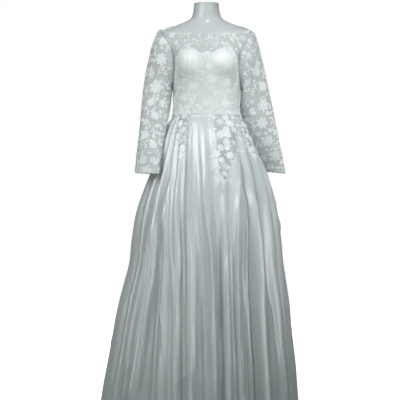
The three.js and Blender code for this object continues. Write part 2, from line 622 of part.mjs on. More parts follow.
// A lace spray: the skirt's own grid moved out, and cut to the spray's outline from the stand outwards.
function spray(shape) {
  const outline = sprayOutline(shape);
  const folds = outline.map((p) => p.fold);
  const first = Math.floor(Math.min(...folds) * FOLD_STEPS) - 1;
  const columns = Math.ceil(Math.max(...folds) * FOLD_STEPS) + 2 - first;
  const heights = SKIRT_RINGS.slice(0, SKIRT_RINGS.findIndex((z) => z < shape.fall - 10) + 1);
  const grid = (distance) => heights.flatMap((height) => Array.from({ length: columns }, (_, c) => {
    const z = ringHeight(height);
    return offSkirt((first + c) / FOLD_STEPS, z, distance).setZ(z);
  }));
  const triangles = gridTriangles(heights.length, columns, false);
  const sheet = wall(grid(SPRAY_LIFT + SPRAY_WALL), grid(SPRAY_LIFT), triangles);
  const foldWidth = 40;
  const flat = outline.map((p) => new THREE.Vector2(p.fold * foldWidth, p.z));
  const caps = THREE.ShapeUtils.triangulateShape(flat, []);
  const rim = outline.map((p) => skirtPoint(p.fold, Math.min(p.z, WAIST)).setZ(p.z));
  const scaled = (share) => rim.map((p) => new THREE.Vector3(p.x * share, p.y * share, p.z));
  const cutter = wall(scaled(1.4), scaled(0.4), caps);
  return piece(shape.name, intersected(sheet, cutter), finishes.lace);
}

// The part of one closed geometry that lies inside another.
function intersected(one, other) {
  const [a, b] = [one, other].map((geometry) => {
    const bare = geometry.clone();
    bare.deleteAttribute('normal');
    const merged = mergeVertices(bare, 1e-4);
    return new wasm.Manifold(new wasm.Mesh({
      numProp: 3,
      vertProperties: merged.getAttribute('position').array,
      triVerts: new Uint32Array(merged.getIndex().array),
    }));
  });
  const mesh = a.intersect(b).getMesh();
  const geometry = new THREE.BufferGeometry();
  geometry.setAttribute('position', new THREE.BufferAttribute(mesh.vertProperties, 3));
  geometry.setIndex(new THREE.BufferAttribute(mesh.triVerts, 1));
  geometry.computeVertexNormals();
  return geometry;
}

// Covered buttons down the middle of the back, each a shallow dome on a short edge.
function buttons() {
  const { radius, height, count, top, bottom, sides } = BUTTON;
  const profile = [
    [0, 0], [radius * 0.8, 0], [radius, height * 0.35], [radius * 0.75, height * 0.8], [0, height],
  ];
  const dome = turned(profile, sides);
  return Array.from({ length: count }, (_, k) => {
    const z = top - ((top - bottom) * k) / (count - 1);
    const onYoke = z > lookUp(EDGES, 'across', 0, 'satinBack');
    const lift = BODY_GAP + (onYoke ? YOKE_WALL : SATIN_WALL) + 2 * SEAM;
    const seat = offTorso(90, z, lift);
    const out = offTorso(90, z, lift + 1).sub(seat);
    const mesh = piece(`button_${k + 1}`, dome, finishes.satin);
    mesh.quaternion.setFromUnitVectors(new THREE.Vector3(0, 0, 1), out.normalize());
    mesh.position.copy(seat);
    return mesh;
  });
}

const dress = new THREE.Group();
dress.add(
  ...dressForm(),
  ...stand(),
  ...bodice(),
  sleeve('sleeve_left', SLEEVE_LEFT, -1),
  sleeve('sleeve_right', SLEEVE_RIGHT, 1),
  ...GORES.map(gore),
  ...SPRAYS.map(spray),
  ...buttons(),
);

export default dress;
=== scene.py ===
# %% [markdown]
# # A long-sleeved wedding dress on a limbless dress form
# The dress has a strapless satin bodice under lace, a sheer lace yoke and sleeves, and a pleated A-line
# skirt. Cloth has almost no thickness, so nearly everything here is a thin sheet whose points follow one
# smooth shape: the body for the bodice, a flattened tube for a sleeve, a pleated cone for the skirt.
# Those three shapes come first, then the finishes, then one cell or two for each piece.

# %% Load the frame and keep its size
import math

import bmesh
import bpy
import numpy as np
from mathutils import Matrix, Vector


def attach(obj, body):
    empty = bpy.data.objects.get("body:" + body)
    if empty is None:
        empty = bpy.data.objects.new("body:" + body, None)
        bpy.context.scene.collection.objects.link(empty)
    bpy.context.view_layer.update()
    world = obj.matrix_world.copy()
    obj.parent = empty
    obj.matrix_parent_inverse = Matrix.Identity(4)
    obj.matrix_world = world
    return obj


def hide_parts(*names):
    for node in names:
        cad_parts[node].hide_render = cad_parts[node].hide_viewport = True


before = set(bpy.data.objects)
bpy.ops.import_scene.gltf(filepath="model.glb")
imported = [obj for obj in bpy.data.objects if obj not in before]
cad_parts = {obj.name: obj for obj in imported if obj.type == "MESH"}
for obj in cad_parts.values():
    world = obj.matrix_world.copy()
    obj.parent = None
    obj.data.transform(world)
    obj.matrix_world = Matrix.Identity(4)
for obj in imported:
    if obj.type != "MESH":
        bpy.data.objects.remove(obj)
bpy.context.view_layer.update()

MM = 0.001

# %% [markdown]
# The photograph looks as if it was taken from about three metres away, level, at hip height. A level
# camera keeps upright lines upright. The camera comes first, so that lace can be placed by where it is
# seen in the picture.

# %% Camera
PICTURE = 400  # pixels across the picture
FOCAL = 810  # focal length in those pixels
EYE = np.array([-25.7, -3200.0, 802.0])  # mm

lens = bpy.data.cameras.new("photo_camera")
lens.sensor_width = 36
lens.lens = lens.sensor_width * FOCAL / PICTURE
camera = bpy.data.objects.new("photo_camera", lens)
camera.location = EYE * MM
camera.rotation_euler = (math.radians(90), 0, 0)
bpy.context.scene.collection.objects.link(camera)
bpy.context.scene.camera = camera
print("lens in mm:", round(lens.lens, 1))

# %% [markdown]
# ## The shape of the body
# A dress form is a stack of rounded sections. Each row of the table is one height, and a smooth curve
# through the rows gives any height between them. All tables are in millimetres and degrees.

# %% Tables read on a smooth curve
def table(columns, *rows):
    """Rows of numbers under named columns, the first column rising."""
    ordered = sorted(rows)
    return dict(zip(columns.split(), np.array(ordered, dtype=float).T))


def smooth_curve(at, places, values):
    """Values at some places, on a smooth curve through given places. Each value may be a row of numbers."""
    places, values = np.asarray(places, float), np.asarray(values, float)
    shape = np.shape(at) + values.shape[1:]
    at = np.clip(np.ravel(at), places[0], places[-1])
    gaps = np.diff(places)
    wide = (slice(None),) + (None,) * (values.ndim - 1)
    slopes = np.empty_like(values)
    slopes[1:-1] = (values[2:] - values[:-2]) / (places[2:] - places[:-2])[wide]
    slopes[0] = (values[1] - values[0]) / gaps[0]
    slopes[-1] = (values[-1] - values[-2]) / gaps[-1]
    i = np.clip(np.searchsorted(places, at, side="left") - 1, 0, len(gaps) - 1)
    gap = gaps[i]
    t = (at - places[i]) / gap
    rise = (t * t * (3 - 2 * t))[wide]
    start, end = (gap * t * (1 - t) ** 2)[wide], (gap * t * t * (1 - t))[wide]
    curve = values[i] * (1 - rise) + values[i + 1] * rise + slopes[i] * start - slopes[i + 1] * end
    return curve.reshape(shape)


def read(rows, column, at):
    """One column of a table, on its smooth curve."""
    first = next(iter(rows))
    return smooth_curve(at, rows[first], rows[column])


def smoothstep(x, low, high):
    t = np.clip((np.asarray(x, float) - low) / (high - low), 0, 1)
    return t * t * (3 - 2 * t)


# %% The torso
WAIST, UNDERARM = 1134, 1240
HEM, FORM_BOTTOM, NECK_TOP = 10, 870, 1580
SATIN_SIDE = 1330  # top of the satin at the armhole

TORSO = table(
    "z half front back square",
    (870, 158, 96, 110, 2.3), (910, 169, 101, 119, 2.3), (960, 170, 103, 121, 2.3),
    (1010, 163, 101, 115, 2.3), (1060, 150, 97, 104, 2.3), (1105, 137, 93, 94, 2.3),
    (1134, 130, 91, 88, 2.3), (1185, 127, 92, 87, 2.3), (1240, 129, 97, 93, 2.3),
    (1290, 135, 103, 100, 2.3), (1340, 143, 107, 106, 2.3), (1375, 160, 102, 108, 2.3),
    (1405, 179, 91, 105, 2.3), (1430, 187, 79, 99, 2.3), (1450, 184, 70, 91, 2.3),
    (1462, 176, 64, 85, 2.3), (1472, 162, 59, 79, 2.3), (1482, 138, 55, 73, 2.3),
    (1492, 111, 52, 67, 2.25), (1502, 87, 50, 62, 2.2), (1514, 65, 49, 57, 2.1),
    (1530, 56, 48, 53, 2), (1552, 51, 48, 50, 2), (1574, 49, 47, 49, 2),
)
CUP = {"x": 70, "z": 1326, "lift": 23, "wide": 46, "above": 62, "below": 44}


def torso_point(bearing, z):
    """Points on the torso. -90 is the front and 0 the side at +X."""
    bearing, z = np.broadcast_arrays(np.asarray(bearing, float), np.asarray(z, float))
    c, s = np.cos(np.radians(bearing)), np.sin(np.radians(bearing))
    power = 2 / read(TORSO, "square", z)
    deep = np.where(s < 0, read(TORSO, "front", z), read(TORSO, "back", z))
    x = read(TORSO, "half", z) * np.sign(c) * np.abs(c) ** power
    y = deep * np.sign(s) * np.abs(s) ** power
    drop = (z - CUP["z"]) / np.where(z > CUP["z"], CUP["above"], CUP["below"])
    side = (np.abs(x) - CUP["x"]) / CUP["wide"]
    y = y - np.where(s < 0, CUP["lift"] * np.exp(-drop**2 - side**2), 0)
    return np.stack([x, y, z], axis=-1)


def lifted(shape, a, b, distance, step_a, step_b):
    """Points of a shape moved out along its normals."""
    along = shape(a + step_a, b) - shape(a - step_a, b)
    up = shape(a, b + step_b) - shape(a, b - step_b)
    normal = np.cross(along, up)
    normal /= np.maximum(np.linalg.norm(normal, axis=-1, keepdims=True), 1e-9)
    return shape(a, b) + normal * np.asarray(distance, float)[..., None]


def off_torso(bearing, z, distance):
    return lifted(torso_point, np.asarray(bearing, float), np.asarray(z, float), distance, 1, 2)


print("waist of the form, mm:", torso_point([-90, 0], WAIST).round(1).tolist())

# %% [markdown]
# ## The shape of the bodice and yoke
# A bodice is cut in upright panels, but once it is on, it is one skin a few millimetres off the body.
# So the whole of it is one shape, read by bearing and height, and each panel takes its part. The tables
# give where the satin ends in its sweetheart curve, the neckline, and how far the armhole cuts in.

# %% The bodice
BODY_GAP, SATIN_WALL, YOKE_WALL = 2.1, 1.8, 1.2

ARMHOLE = table(
    "z front back",
    (1134, 0, 0), (1240, 0, 0), (1256, 13, 12), (1278, 24, 22), (1300, 29, 28), (1340, 34, 31),
    (1380, 41, 36), (1405, 40, 34), (1430, 33, 28), (1450, 23, 19), (1461, 10, 9), (1468, 0, 0),
    (1486, 0, 0),
)
EDGES = table(
    "across sweetheart neckFront satinBack neckBack",
    (0, 1358, 1448, 1318, 1474), (0.15, 1367, 1448, 1318, 1474), (0.35, 1384, 1449, 1320, 1475),
    (0.55, 1388, 1452, 1323, 1477), (0.75, 1375, 1460, 1326, 1480), (0.9, 1352, 1475, 1329, 1484),
    (1, 1330, 1486, 1330, 1486),
)
PRINCESS = 0.5  # where the princess seams cross the cups, from the middle (0) to the side (1)


def armhole_edge(z, front):
    """How far the armhole cuts in at a height, in degrees from the side."""
    at_front, at_back = (np.interp(z, ARMHOLE["z"], ARMHOLE[face]) for face in ("front", "back"))
    return np.where(front, at_front, at_back)


def front_bearing(bearing):
    """The same bearing from -270 up to 90. The front is -180 to 0, and the back left is -270 to -180."""
    return (bearing + 270) % 360 - 270


def bodice_bearing(place, z, front):
    """Bearing of a place from -1, the left edge, to 1, the right edge."""
    turn = 90 - (90 - armhole_edge(z, front)) * np.abs(place)
    turn = -turn if front else turn
    return np.where(place < 0, 180 - turn, turn)


# Drag lines in the bodice, each from one bearing and height to another, with its width and height.
DRAG_LINES = [
    (-101, 1222, -72, 1252, 5, 1.6),
    (-96, 1204, -74, 1226, 4, -1.2),
    (-128, 1150, -100, 1163, 5, 1.2),
    (-84, 1158, -52, 1149, 5, -1.2),
    (-60, 1196, -38, 1175, 4, 1.0),
    (-140, 1200, -122, 1180, 4, 1.0),
    (62, 1190, 84, 1170, 5, 1.2),
    (40, 1215, 58, 1234, 4, -1.0),
]


def ridge_along(u, v, start, end, width):
    """1 on the line from start to end, fading to 0 at width from it. All in mm."""
    (u0, v0), (u1, v1) = start, end
    length = math.hypot(u1 - u0, v1 - v0)
    du, dv = (u1 - u0) / length, (v1 - v0) / length
    far = (u - u0) * du + (v - v0) * dv
    off = (v - v0) * du - (u - u0) * dv
    fade = smoothstep(far, -width, length * 0.3) * (1 - smoothstep(far, length * 0.7, length + width))
    return np.exp(-((off / width) ** 2)) * fade


def bodice_relief(bearing, z):
    """How far the cloth stands off its plain shape: drag lines and the sunk princess seams."""
    mean_radius = 2.1  # mm for each degree
    wrapped = front_bearing(bearing)
    total = np.zeros(np.shape(z))
    for b0, z0, b1, z1, width, height in DRAG_LINES:
        start, end = (b0 * mean_radius, z0), (b1 * mean_radius, z1)
        total += height * ridge_along(wrapped * mean_radius, z, start, end, width)
    seam = (90 - armhole_edge(z, True)) * PRINCESS
    off_seam = (np.abs(np.abs(wrapped + 90) - seam)) * mean_radius
    return total - 1.0 * np.exp(-((off_seam / 2.2) ** 2)) * (wrapped < 0)


def bodice_surface(bearing, z, lift=0.0):
    """The outer face of the satin bodice, by bearing and height."""
    distance = BODY_GAP + SATIN_WALL + bodice_relief(bearing, z) + lift
    return off_torso(bearing, z, distance)


def yoke_surface(bearing, z, lift=0.0):
    """The outer face of the sheer yoke, by bearing and height."""
    return off_torso(bearing, z, BODY_GAP + YOKE_WALL + lift + np.zeros(np.shape(z)))


# %% [markdown]
# ## The shape of the skirt
# The skirt is pleated into the waist and opens towards the hem. Every pleat makes a ridge that runs all
# the way down, with a valley after it. Ridges are numbered round the waist, and each has a bearing at
# four heights. Half-way between two whole numbers is the floor of a valley.

# %% The skirt without its creases
WAIST_STAND_OFF, WAIST_YOKE, WAIST_PLEAT = 6.3, 1101, 2.4
FOLD_SEAM = 0.6  # a gore ends this far after a ridge

SKIRT = table(
    "z left right front back",
    (10, 418, 361, 376, 472), (95, 405, 355, 364, 454), (194, 387, 348, 350, 434),
    (308, 366, 335, 330, 407), (391, 349, 328, 314, 387), (478, 327, 316, 298, 362),
    (561, 306, 304, 280, 337), (648, 296, 296, 264, 312), (752, 278, 280, 242, 277),
    (829, 254, 264, 221, 247), (912, 221, 237, 193, 213), (962, 205, 214, 174, 190),
    (1019, 186, 189, 152, 161), (1076, 165, 164, 128, 132), (1109, 149, 149, 112, 113),
    (1134, 136, 136, 101, 98),
)
RIDGE_HEIGHTS = (10, 500, 880, 1134)
# Bearing at each of those heights, and the depth of the valley after the ridge at the hem.
RIDGES = np.array([
    (-170, -170, -169, -170, 52), (-149, -148, -150, -154, 46), (-134, -133, -138, -144, 54),
    (-114, -120, -127, -134, 22), (-106, -111, -118, -125, 30), (-98, -101, -107, -115, 44),
    (-84.5, -86, -91, -98, 34), (-77, -76, -77, -76, 26), (-67, -69, -63, -54, 50),
    (-50, -50, -47, -38, 48), (-32, -31, -27, -20, 54), (-9, -10, -8, -5, 50),
    (11, 12, 11, 11, 56), (32, 30, 29, 27, 60), (48, 47, 45, 44, 52), (64, 62, 60, 59, 60),
    (79, 77, 76, 75, 58), (94, 93, 92, 92, 62), (109, 108, 109, 109, 56), (124, 125, 124, 125, 60),
    (142, 141, 141, 142, 54), (157, 156, 158, 158, 58),
])


def ridge_bearings(z):
    """Bearings of all the ridges at each height, then the first ones again after a full turn."""
    once = smooth_curve(z, RIDGE_HEIGHTS, RIDGES[:, :4].T)
    return np.concatenate([once, once + 360], axis=-1)


def plain_skirt(fold, z):
    fold, z = np.broadcast_arrays(np.asarray(fold, float), np.clip(np.asarray(z, float), HEM, WAIST))
    count = len(RIDGES)
    number = np.floor(fold).astype(int)
    t = fold - number
    bearings = ridge_bearings(z)
    turns = number // count
    low = number - turns * count
    here = np.take_along_axis(bearings, low[..., None], -1)[..., 0]
    following = np.take_along_axis(bearings, low[..., None] + 1, -1)[..., 0]
    bearing = here * (1 - t) + following * t + 360 * turns
    fall = (WAIST - z) / (WAIST - HEM)
    depth = WAIST_PLEAT + (RIDGES[low, 4] - WAIST_PLEAT) * fall**0.9
    valley = depth * (0.5 - 0.5 * np.cos(2 * np.pi * t))
    c, s = np.cos(np.radians(bearing)), np.sin(np.radians(bearing))
    wide = np.where(c < 0, read(SKIRT, "left", z), read(SKIRT, "right", z))
    deep = np.where(s < 0, read(SKIRT, "front", z), read(SKIRT, "back", z))
    sewn = off_torso(bearing, np.full(np.shape(z), WAIST), np.full(np.shape(z), WAIST_STAND_OFF))
    free = smoothstep(WAIST - z, 0, WAIST - WAIST_YOKE)
    x = sewn[..., 0] * (1 - free) + wide * c * free
    y = sewn[..., 1] * (1 - free) + deep * s * free
    shorter = 1 - valley / np.hypot(x, y)
    return np.stack([x * shorter, y * shorter, z], axis=-1)


def fold_at(bearing, z):
    """Fold number of a bearing at a height."""
    z = np.broadcast_to(np.asarray(z, float), np.shape(bearing))
    bearings = ridge_bearings(z)
    turned = bearings[..., 0] + (np.asarray(bearing, float) - bearings[..., 0]) % 360
    number = (bearings <= turned[..., None]).sum(axis=-1) - 1
    low = np.take_along_axis(bearings, number[..., None], -1)[..., 0]
    high = np.take_along_axis(bearings, number[..., None] + 1, -1)[..., 0]
    return number + (turned - low) / (high - low)


# %% [markdown]
# ## Where a place in the picture lies on the cloth
# Creases and lace follow the photograph, so a place given in its pixels is turned into a place on the
# cloth: of all points of the shape that face the camera, the one whose picture is nearest.

# %% From the picture to the cloth
def pixel_of(points):
    away = points[..., 1] - EYE[1]
    across = PICTURE / 2 + FOCAL * (points[..., 0] - EYE[0]) / away
    down = PICTURE / 2 - FOCAL * (points[..., 2] - EYE[2]) / away
    return np.stack([across, down], axis=-1)


def seen_map(shape, a_range, b_range, steps=360):
    """The shape's points that face the camera: their two coordinates and their pixels."""
    a, b = np.meshgrid(np.linspace(*a_range, steps), np.linspace(*b_range, steps), indexing="ij")
    points = shape(a, b)
    normal = np.cross(np.gradient(points, axis=0), np.gradient(points, axis=1))
    facing = (normal * (EYE - points)).sum(axis=-1)
    facing = facing * np.sign(np.median(facing[points[..., 1] <= np.median(points[..., 1])]))
    ahead = facing > 0
    return np.stack([a[ahead], b[ahead]], axis=-1), pixel_of(points[ahead])


def where_seen(seen, px, py):
    places, pixels = seen
    return places[np.argmin(((pixels - (px, py)) ** 2).sum(axis=-1))]


skirt_seen = seen_map(plain_skirt, (0, 14), (HEM, WAIST), 500)
print("the pleat edge at pixel (189, 200) is on fold", where_seen(skirt_seen, 189, 200).round(2).tolist())

# %% [markdown]
# ## The creases of the skirt
# Heavy satin shows long soft folds, hard pleat edges that catch the light, and short slanted crinkles where
# it has been crushed. A simulated sheet would fall into folds of its own, so the folds that show in the
# photograph are listed one by one, and similar ones cover the sides and back.

# %% Long folds, as lines down the picture
# Each: its pixels from top to bottom, its width to the left and to the right in mm, and its height.
FRONT_FOLDS = [
    ([(190, 116), (188.5, 180), (188, 260), (188, 330), (189, 398)], 6, 2.5, 6.5),
    ([(193, 122), (192, 180), (191.5, 260), (192, 330), (193, 398)], 2.5, 8, -5),
    ([(170, 150), (164, 215), (162, 265), (162.5, 330), (164, 398)], 5, 2.5, 6),
    ([(174, 158), (172, 200), (171, 250), (173, 300)], 9, 9, 8),
    ([(181, 150), (180.5, 230), (181, 300)], 5, 6, -6),
    ([(178, 235), (181.5, 257), (178, 285)], 3, 4, 5),
    ([(203, 170), (204.5, 215), (211, 250), (213, 290), (211, 330), (214, 398)], 7, 9, 9),
    ([(221, 180), (221, 230), (219, 280), (221, 330)], 12, 12, -9),
    ([(237.5, 150), (238, 210), (237.5, 270), (239, 330), (241, 398)], 9, 3, 9),
    ([(243, 170), (244, 230), (244, 300), (246, 398)], 5, 10, -9),
    ([(251, 188), (256, 228), (262, 268), (267, 310), (271, 350), (274, 398)], 40, 14, 17),
    ([(262, 152), (270, 205), (276, 250)], 7, 5, 5),
    ([(160, 172), (150, 215), (143, 255), (135, 300), (127, 350), (121, 398)], 7, 6, -9),
    ([(161, 215), (157, 262), (151, 300), (143, 350), (135, 398)], 36, 7, 13),
    ([(148, 196), (142, 225), (136, 262)], 9, 9, 6),
    ([(200, 250), (200, 310), (198, 398)], 14, 14, -6),
    ([(228, 240), (227, 300), (226, 398)], 5, 6, 5),
]
# For the sides and back: fold numbers and heights from top to bottom, then widths and height.
OTHER_FOLDS = [
    ([(12.3, 1080), (12.2, 800), (12.35, 400), (12.3, 60)], 6, 3, 5),
    ([(13.6, 1050), (13.7, 700), (13.6, 250)], 9, 9, -5),
    ([(14.2, 1100), (14.25, 700), (14.2, 300), (14.25, 30)], 4, 6, 5),
    ([(15.3, 900), (15.4, 600), (15.2, 200)], 9, 8, 5),
    ([(16.1, 1110), (16.05, 700), (16.15, 300), (16.1, 30)], 3, 6, 5),
    ([(16.9, 1100), (16.9, 600), (16.85, 40)], 6, 3, 4),
    ([(17.4, 800), (17.5, 500), (17.4, 100)], 10, 10, -5),
    ([(18.3, 1080), (18.25, 700), (18.35, 250), (18.3, 30)], 5, 5, 5),
    ([(19.2, 1000), (19.15, 600), (19.25, 150)], 8, 4, 5),
    ([(20.1, 1110), (20.15, 700), (20.1, 30)], 6, 3, 5),
    ([(20.7, 850), (20.6, 450), (20.7, 90)], 9, 9, -4),
    ([(21.3, 1060), (21.35, 640), (21.25, 120)], 7, 7, 5),
    ([(0.2, 1050), (0.25, 600), (0.2, 40)], 5, 7, 5),
    ([(10.7, 980), (10.8, 620), (10.7, 120)], 8, 7, 5),
    ([(11.4, 1060), (11.35, 640), (11.45, 60)], 8, 8, -5),
]
folds = [
    (np.array([where_seen(skirt_seen, *pixel) for pixel in pixels]), left, right, height)
    for pixels, left, right, height in FRONT_FOLDS
]
folds += [(np.array(places, float), left, right, height) for places, left, right, height in OTHER_FOLDS]

# Crinkles: from one pixel to another, the width and height in mm.
FRONT_CRINKLES = [
    (251, 240, 238, 266, 4, 4.5), (257, 236, 246, 252, 4, -4), (241, 176, 236, 190, 3, 2.5),
    (247, 210, 251, 232, 4, 2.5), (236, 240, 243, 247, 3, 2.5), (270, 284, 264, 300, 4, 2.5),
    (222, 240, 214, 232, 3, 2.5), (268, 320, 277, 336, 4, 2.5), (213, 166, 219, 180, 3, 2.5),
    (214, 276, 209, 292, 4, -2.5), (145, 345, 152, 356, 4, 2.5), (150, 262, 158, 270, 8, 5.0),
    (228, 280, 233, 268, 3, 2.5), (174, 384, 190, 372, 5, 3.0), (191, 388, 182, 396, 5, -2.5),
    (216, 340, 209, 352, 4, 2.5), (240, 342, 246, 356, 4, 2.5), (217, 368, 210, 378, 4, -2.5),
    (258, 262, 266, 274, 4, 2.5), (139, 300, 147, 292, 5, 2.5), (201, 300, 193, 309, 4, 2.0),
    (248, 300, 256, 314, 5, 2.5), (232, 310, 240, 300, 4, -2.0), (163, 360, 172, 352, 4, 2.5),
    (141, 205, 137, 216, 3, 2.0), (176, 262, 184, 252, 3, 2.0), (124, 372, 133, 362, 5, 2.5),
]
OTHER_CRINKLES = [
    (12.4, 640, 13.1, 690, 5, 3.0), (15.4, 520, 16.2, 470, 5, 3.0), (17.3, 700, 17.9, 740, 5, 3.0),
    (18.4, 330, 19.0, 300, 5, -2.5), (20.3, 560, 21.0, 600, 5, 3.0), (21.6, 280, 22.2, 240, 5, 2.5),
    (14.1, 240, 14.7, 200, 5, 2.5), (16.3, 860, 16.8, 880, 4, 2.5), (19.5, 880, 20.0, 860, 4, 2.5),
    (0.7, 420, 1.3, 460, 5, 3.0), (11.2, 380, 11.9, 340, 5, -2.5), (13.3, 900, 13.8, 930, 4, 2.5),
    (10.6, 760, 11.1, 800, 5, 2.5), (17.8, 150, 18.5, 190, 5, 2.5), (1.6, 760, 2.1, 720, 4, 2.5),
]


# %% The skirt with its creases
def fold_width(fold, z):
    """Length of cloth across one fold, mm."""
    step = 0.02
    return np.linalg.norm(plain_skirt(fold + step, z) - plain_skirt(fold - step, z), axis=-1) / (2 * step)


def as_segment(f0, z0, f1, z1, width, height):
    mid_fold, mid_z = (f0 + f1) / 2, (z0 + z1) / 2
    scale = float(fold_width(np.array([mid_fold]), np.array([mid_z]))[0])
    return mid_fold, scale, ((f0 - mid_fold) * scale, z0), ((f1 - mid_fold) * scale, z1), width, height


crinkles = [as_segment(*row) for row in OTHER_CRINKLES]
for x0, y0, x1, y1, width, height in FRONT_CRINKLES:
    start, end = where_seen(skirt_seen, x0, y0), where_seen(skirt_seen, x1, y1)
    crinkles.append(as_segment(*start, *end, width, height))


def skirt_relief(fold, z):
    """How far the satin stands off its plain shape, mm."""
    count = len(RIDGES)
    total = np.zeros(np.shape(fold))
    width_here = fold_width(fold, z)
    for places, left, right, height in folds:
        line = np.interp(-z, -places[:, 1], places[:, 0])
        off = ((fold - line + count / 2) % count - count / 2) * width_here
        reach = np.where(off < 0, left, right)
        ends = smoothstep(z, places[-1, 1] - 60, places[-1, 1] + 40)
        ends *= 1 - smoothstep(z, places[0, 1] - 70, places[0, 1] + 10)
        if places[-1, 1] < 60:
            ends = 1 - smoothstep(z, places[0, 1] - 70, places[0, 1] + 10)
        total += height * np.exp(-((off / reach) ** 2)) * ends
    for middle, scale, start, end, width, height in crinkles:
        off = ((fold - middle + count / 2) % count - count / 2) * scale
        total += height * ridge_along(off, z, start, end, width)
    # Slow waves along the length, so that no ridge is ruled straight.
    waves = 1.4 * np.sin(fold * 4.1 + z / 83) * np.sin(z / 127 + fold * 1.7)
    total += waves * smoothstep(WAIST - z, 60, 300)
    return total


def level_out(points):
    """Level directions from the upright axis through each point."""
    out = points * (1, 1, 0)
    return out / np.linalg.norm(out, axis=-1, keepdims=True)


def creased_skirt(fold, z):
    fold, z = np.broadcast_arrays(np.asarray(fold, float), np.clip(np.asarray(z, float), HEM, WAIST))
    plain = plain_skirt(fold, z)
    return plain + level_out(plain) * skirt_relief(fold, z)[..., None]


def skirt_surface(bearing, z, lift=0.0):
    """The outer face of the creased satin, by bearing and height, for lace laid on it."""
    shape = lambda turn, height: creased_skirt(fold_at(turn, height), height)
    top = np.minimum(z, WAIST - 1)
    points = lifted(shape, bearing, top, lift + np.zeros(np.shape(z)), 0.2, 1)
    points[..., 2] += z - top
    return points


print(len(folds), "long folds and", len(crinkles), "crinkles")

# %% [markdown]
# ## The shape of a sleeve
# A sleeve with no arm in it hangs as a flattened tube. Its top is eased round the armhole, and a table
# of rings leads from there to the cuff: the outer fold, the inner fold and half the thickness. Each
# ring is read by length of cloth, so a flower keeps its shape on it.

# %% The sleeves
SATIN_ROWS, ARMHOLE_ROW = 12, 6
YOKE_EDGE = [1330, 1362, 1392, 1417, 1437, 1453, 1462, 1468]
SLEEVE_RINGS = {
    -1: table(
        "place outer_x outer_y outer_z inner_x inner_y inner_z half join",
        (0, -174, 0, 1468, -131, 0, 1240, 70, 0), (12, -193, -1, 1477, -139, -1, 1236, 71, 0.45),
        (45, -208, -2, 1440, -140, -2, 1227, 71, 0.75), (85, -217, -5, 1398, -139, -5, 1211, 63, 1),
        (132, -227, -9, 1350, -141, -10, 1190, 53, 1), (185, -239, -14, 1295, -144, -17, 1163, 45, 1),
        (241, -247, -20, 1235, -149, -27, 1130, 38, 1), (298, -253, -28, 1172, -156, -43, 1090, 33, 1),
        (357, -257, -38, 1106, -164, -64, 1046, 29, 1), (416, -262, -50, 1042, -172, -90, 1001, 25, 1),
        (478, -269, -63, 976, -178, -112, 953, 22, 1), (541, -274, -77, 910, -184, -132, 902, 20, 1),
    ),
    1: table(
        "place outer_x outer_y outer_z inner_x inner_y inner_z half join",
        (0, 174, 0, 1468, 131, 0, 1240, 70, 0), (12, 187, 1, 1463, 139, 1, 1236, 71, 0.35),
        (45, 198, 2, 1440, 140, 2, 1227, 71, 0.75), (85, 209, 5, 1398, 137, 5, 1211, 63, 1),
        (132, 221, 9, 1350, 135, 8, 1190, 53, 1), (185, 234, 14, 1295, 134, 14, 1163, 45, 1),
        (241, 247, 21, 1235, 142, 24, 1130, 38, 1), (298, 262, 29, 1172, 152, 40, 1090, 33, 1),
        (357, 276, 39, 1106, 166, 58, 1046, 30, 1), (416, 290, 52, 1042, 185, 78, 1001, 27, 1),
        (478, 305, 65, 976, 203, 99, 953, 24, 1), (538, 318, 79, 913, 213, 119, 924, 22, 1),
    ),
}
GIRTH_STEPS = 96  # points round a ring


def armhole_line(side, lift):
    """The armhole as a closed line: from the shoulder down the front, past the underarm, up the back."""
    top = len(YOKE_EDGE) - 1
    rise = [UNDERARM + (SATIN_SIDE - UNDERARM) * k / ARMHOLE_ROW for k in range(1, ARMHOLE_ROW)]
    down = np.array(YOKE_EDGE[::-1] + rise[::-1], float)
    z = np.concatenate([down, [UNDERARM], down[:0:-1]])
    front = np.arange(len(z)) <= SATIN_ROWS - ARMHOLE_ROW + top
    edge = armhole_edge(z, front)
    turn = np.where(front, -edge, edge)
    return off_torso(180 - turn if side < 0 else turn, z, np.full(len(z), float(lift)))


def round_ring(points, steps):
    """A closed line through points, at equal lengths from each other."""
    closed = np.concatenate([points[-3:], points, points[:4]])
    dense = smooth_curve(np.linspace(3, 3 + len(points), 8 * steps + 1), np.arange(len(closed)), closed)
    lengths = np.concatenate([[0], np.linalg.norm(np.diff(dense, axis=0), axis=-1).cumsum()])
    even = np.linspace(0, lengths[-1], steps, endpoint=False)
    return np.stack([np.interp(even, lengths, dense[:, k]) for k in range(3)], axis=-1)


def sleeve_rings(side):
    start = armhole_line(side, BODY_GAP + SATIN_WALL + 0.6)
    turn = (2 * np.pi * np.arange(len(start)) / len(start))[:, None]
    rows = SLEEVE_RINGS[side]
    rings = []
    for k in range(len(rows["place"])):
        outer, inner = (np.array([rows[f"{end}_{axis}"][k] for axis in "xyz"]) for end in ("outer", "inner"))
        middle, fold = (outer + inner) / 2, (outer - inner) / 2
        level = fold * (1, 1, 0) / np.linalg.norm(fold[:2])
        front = np.cross(level, (0, 0, 1)) * side * rows["half"][k]
        free = middle + fold * np.cos(turn) + front * np.sin(turn)
        rings.append(round_ring(start + (free - start) * rows["join"][k], GIRTH_STEPS))
    return np.array(rings)


RINGS = {side: sleeve_rings(side) for side in (-1, 1)}


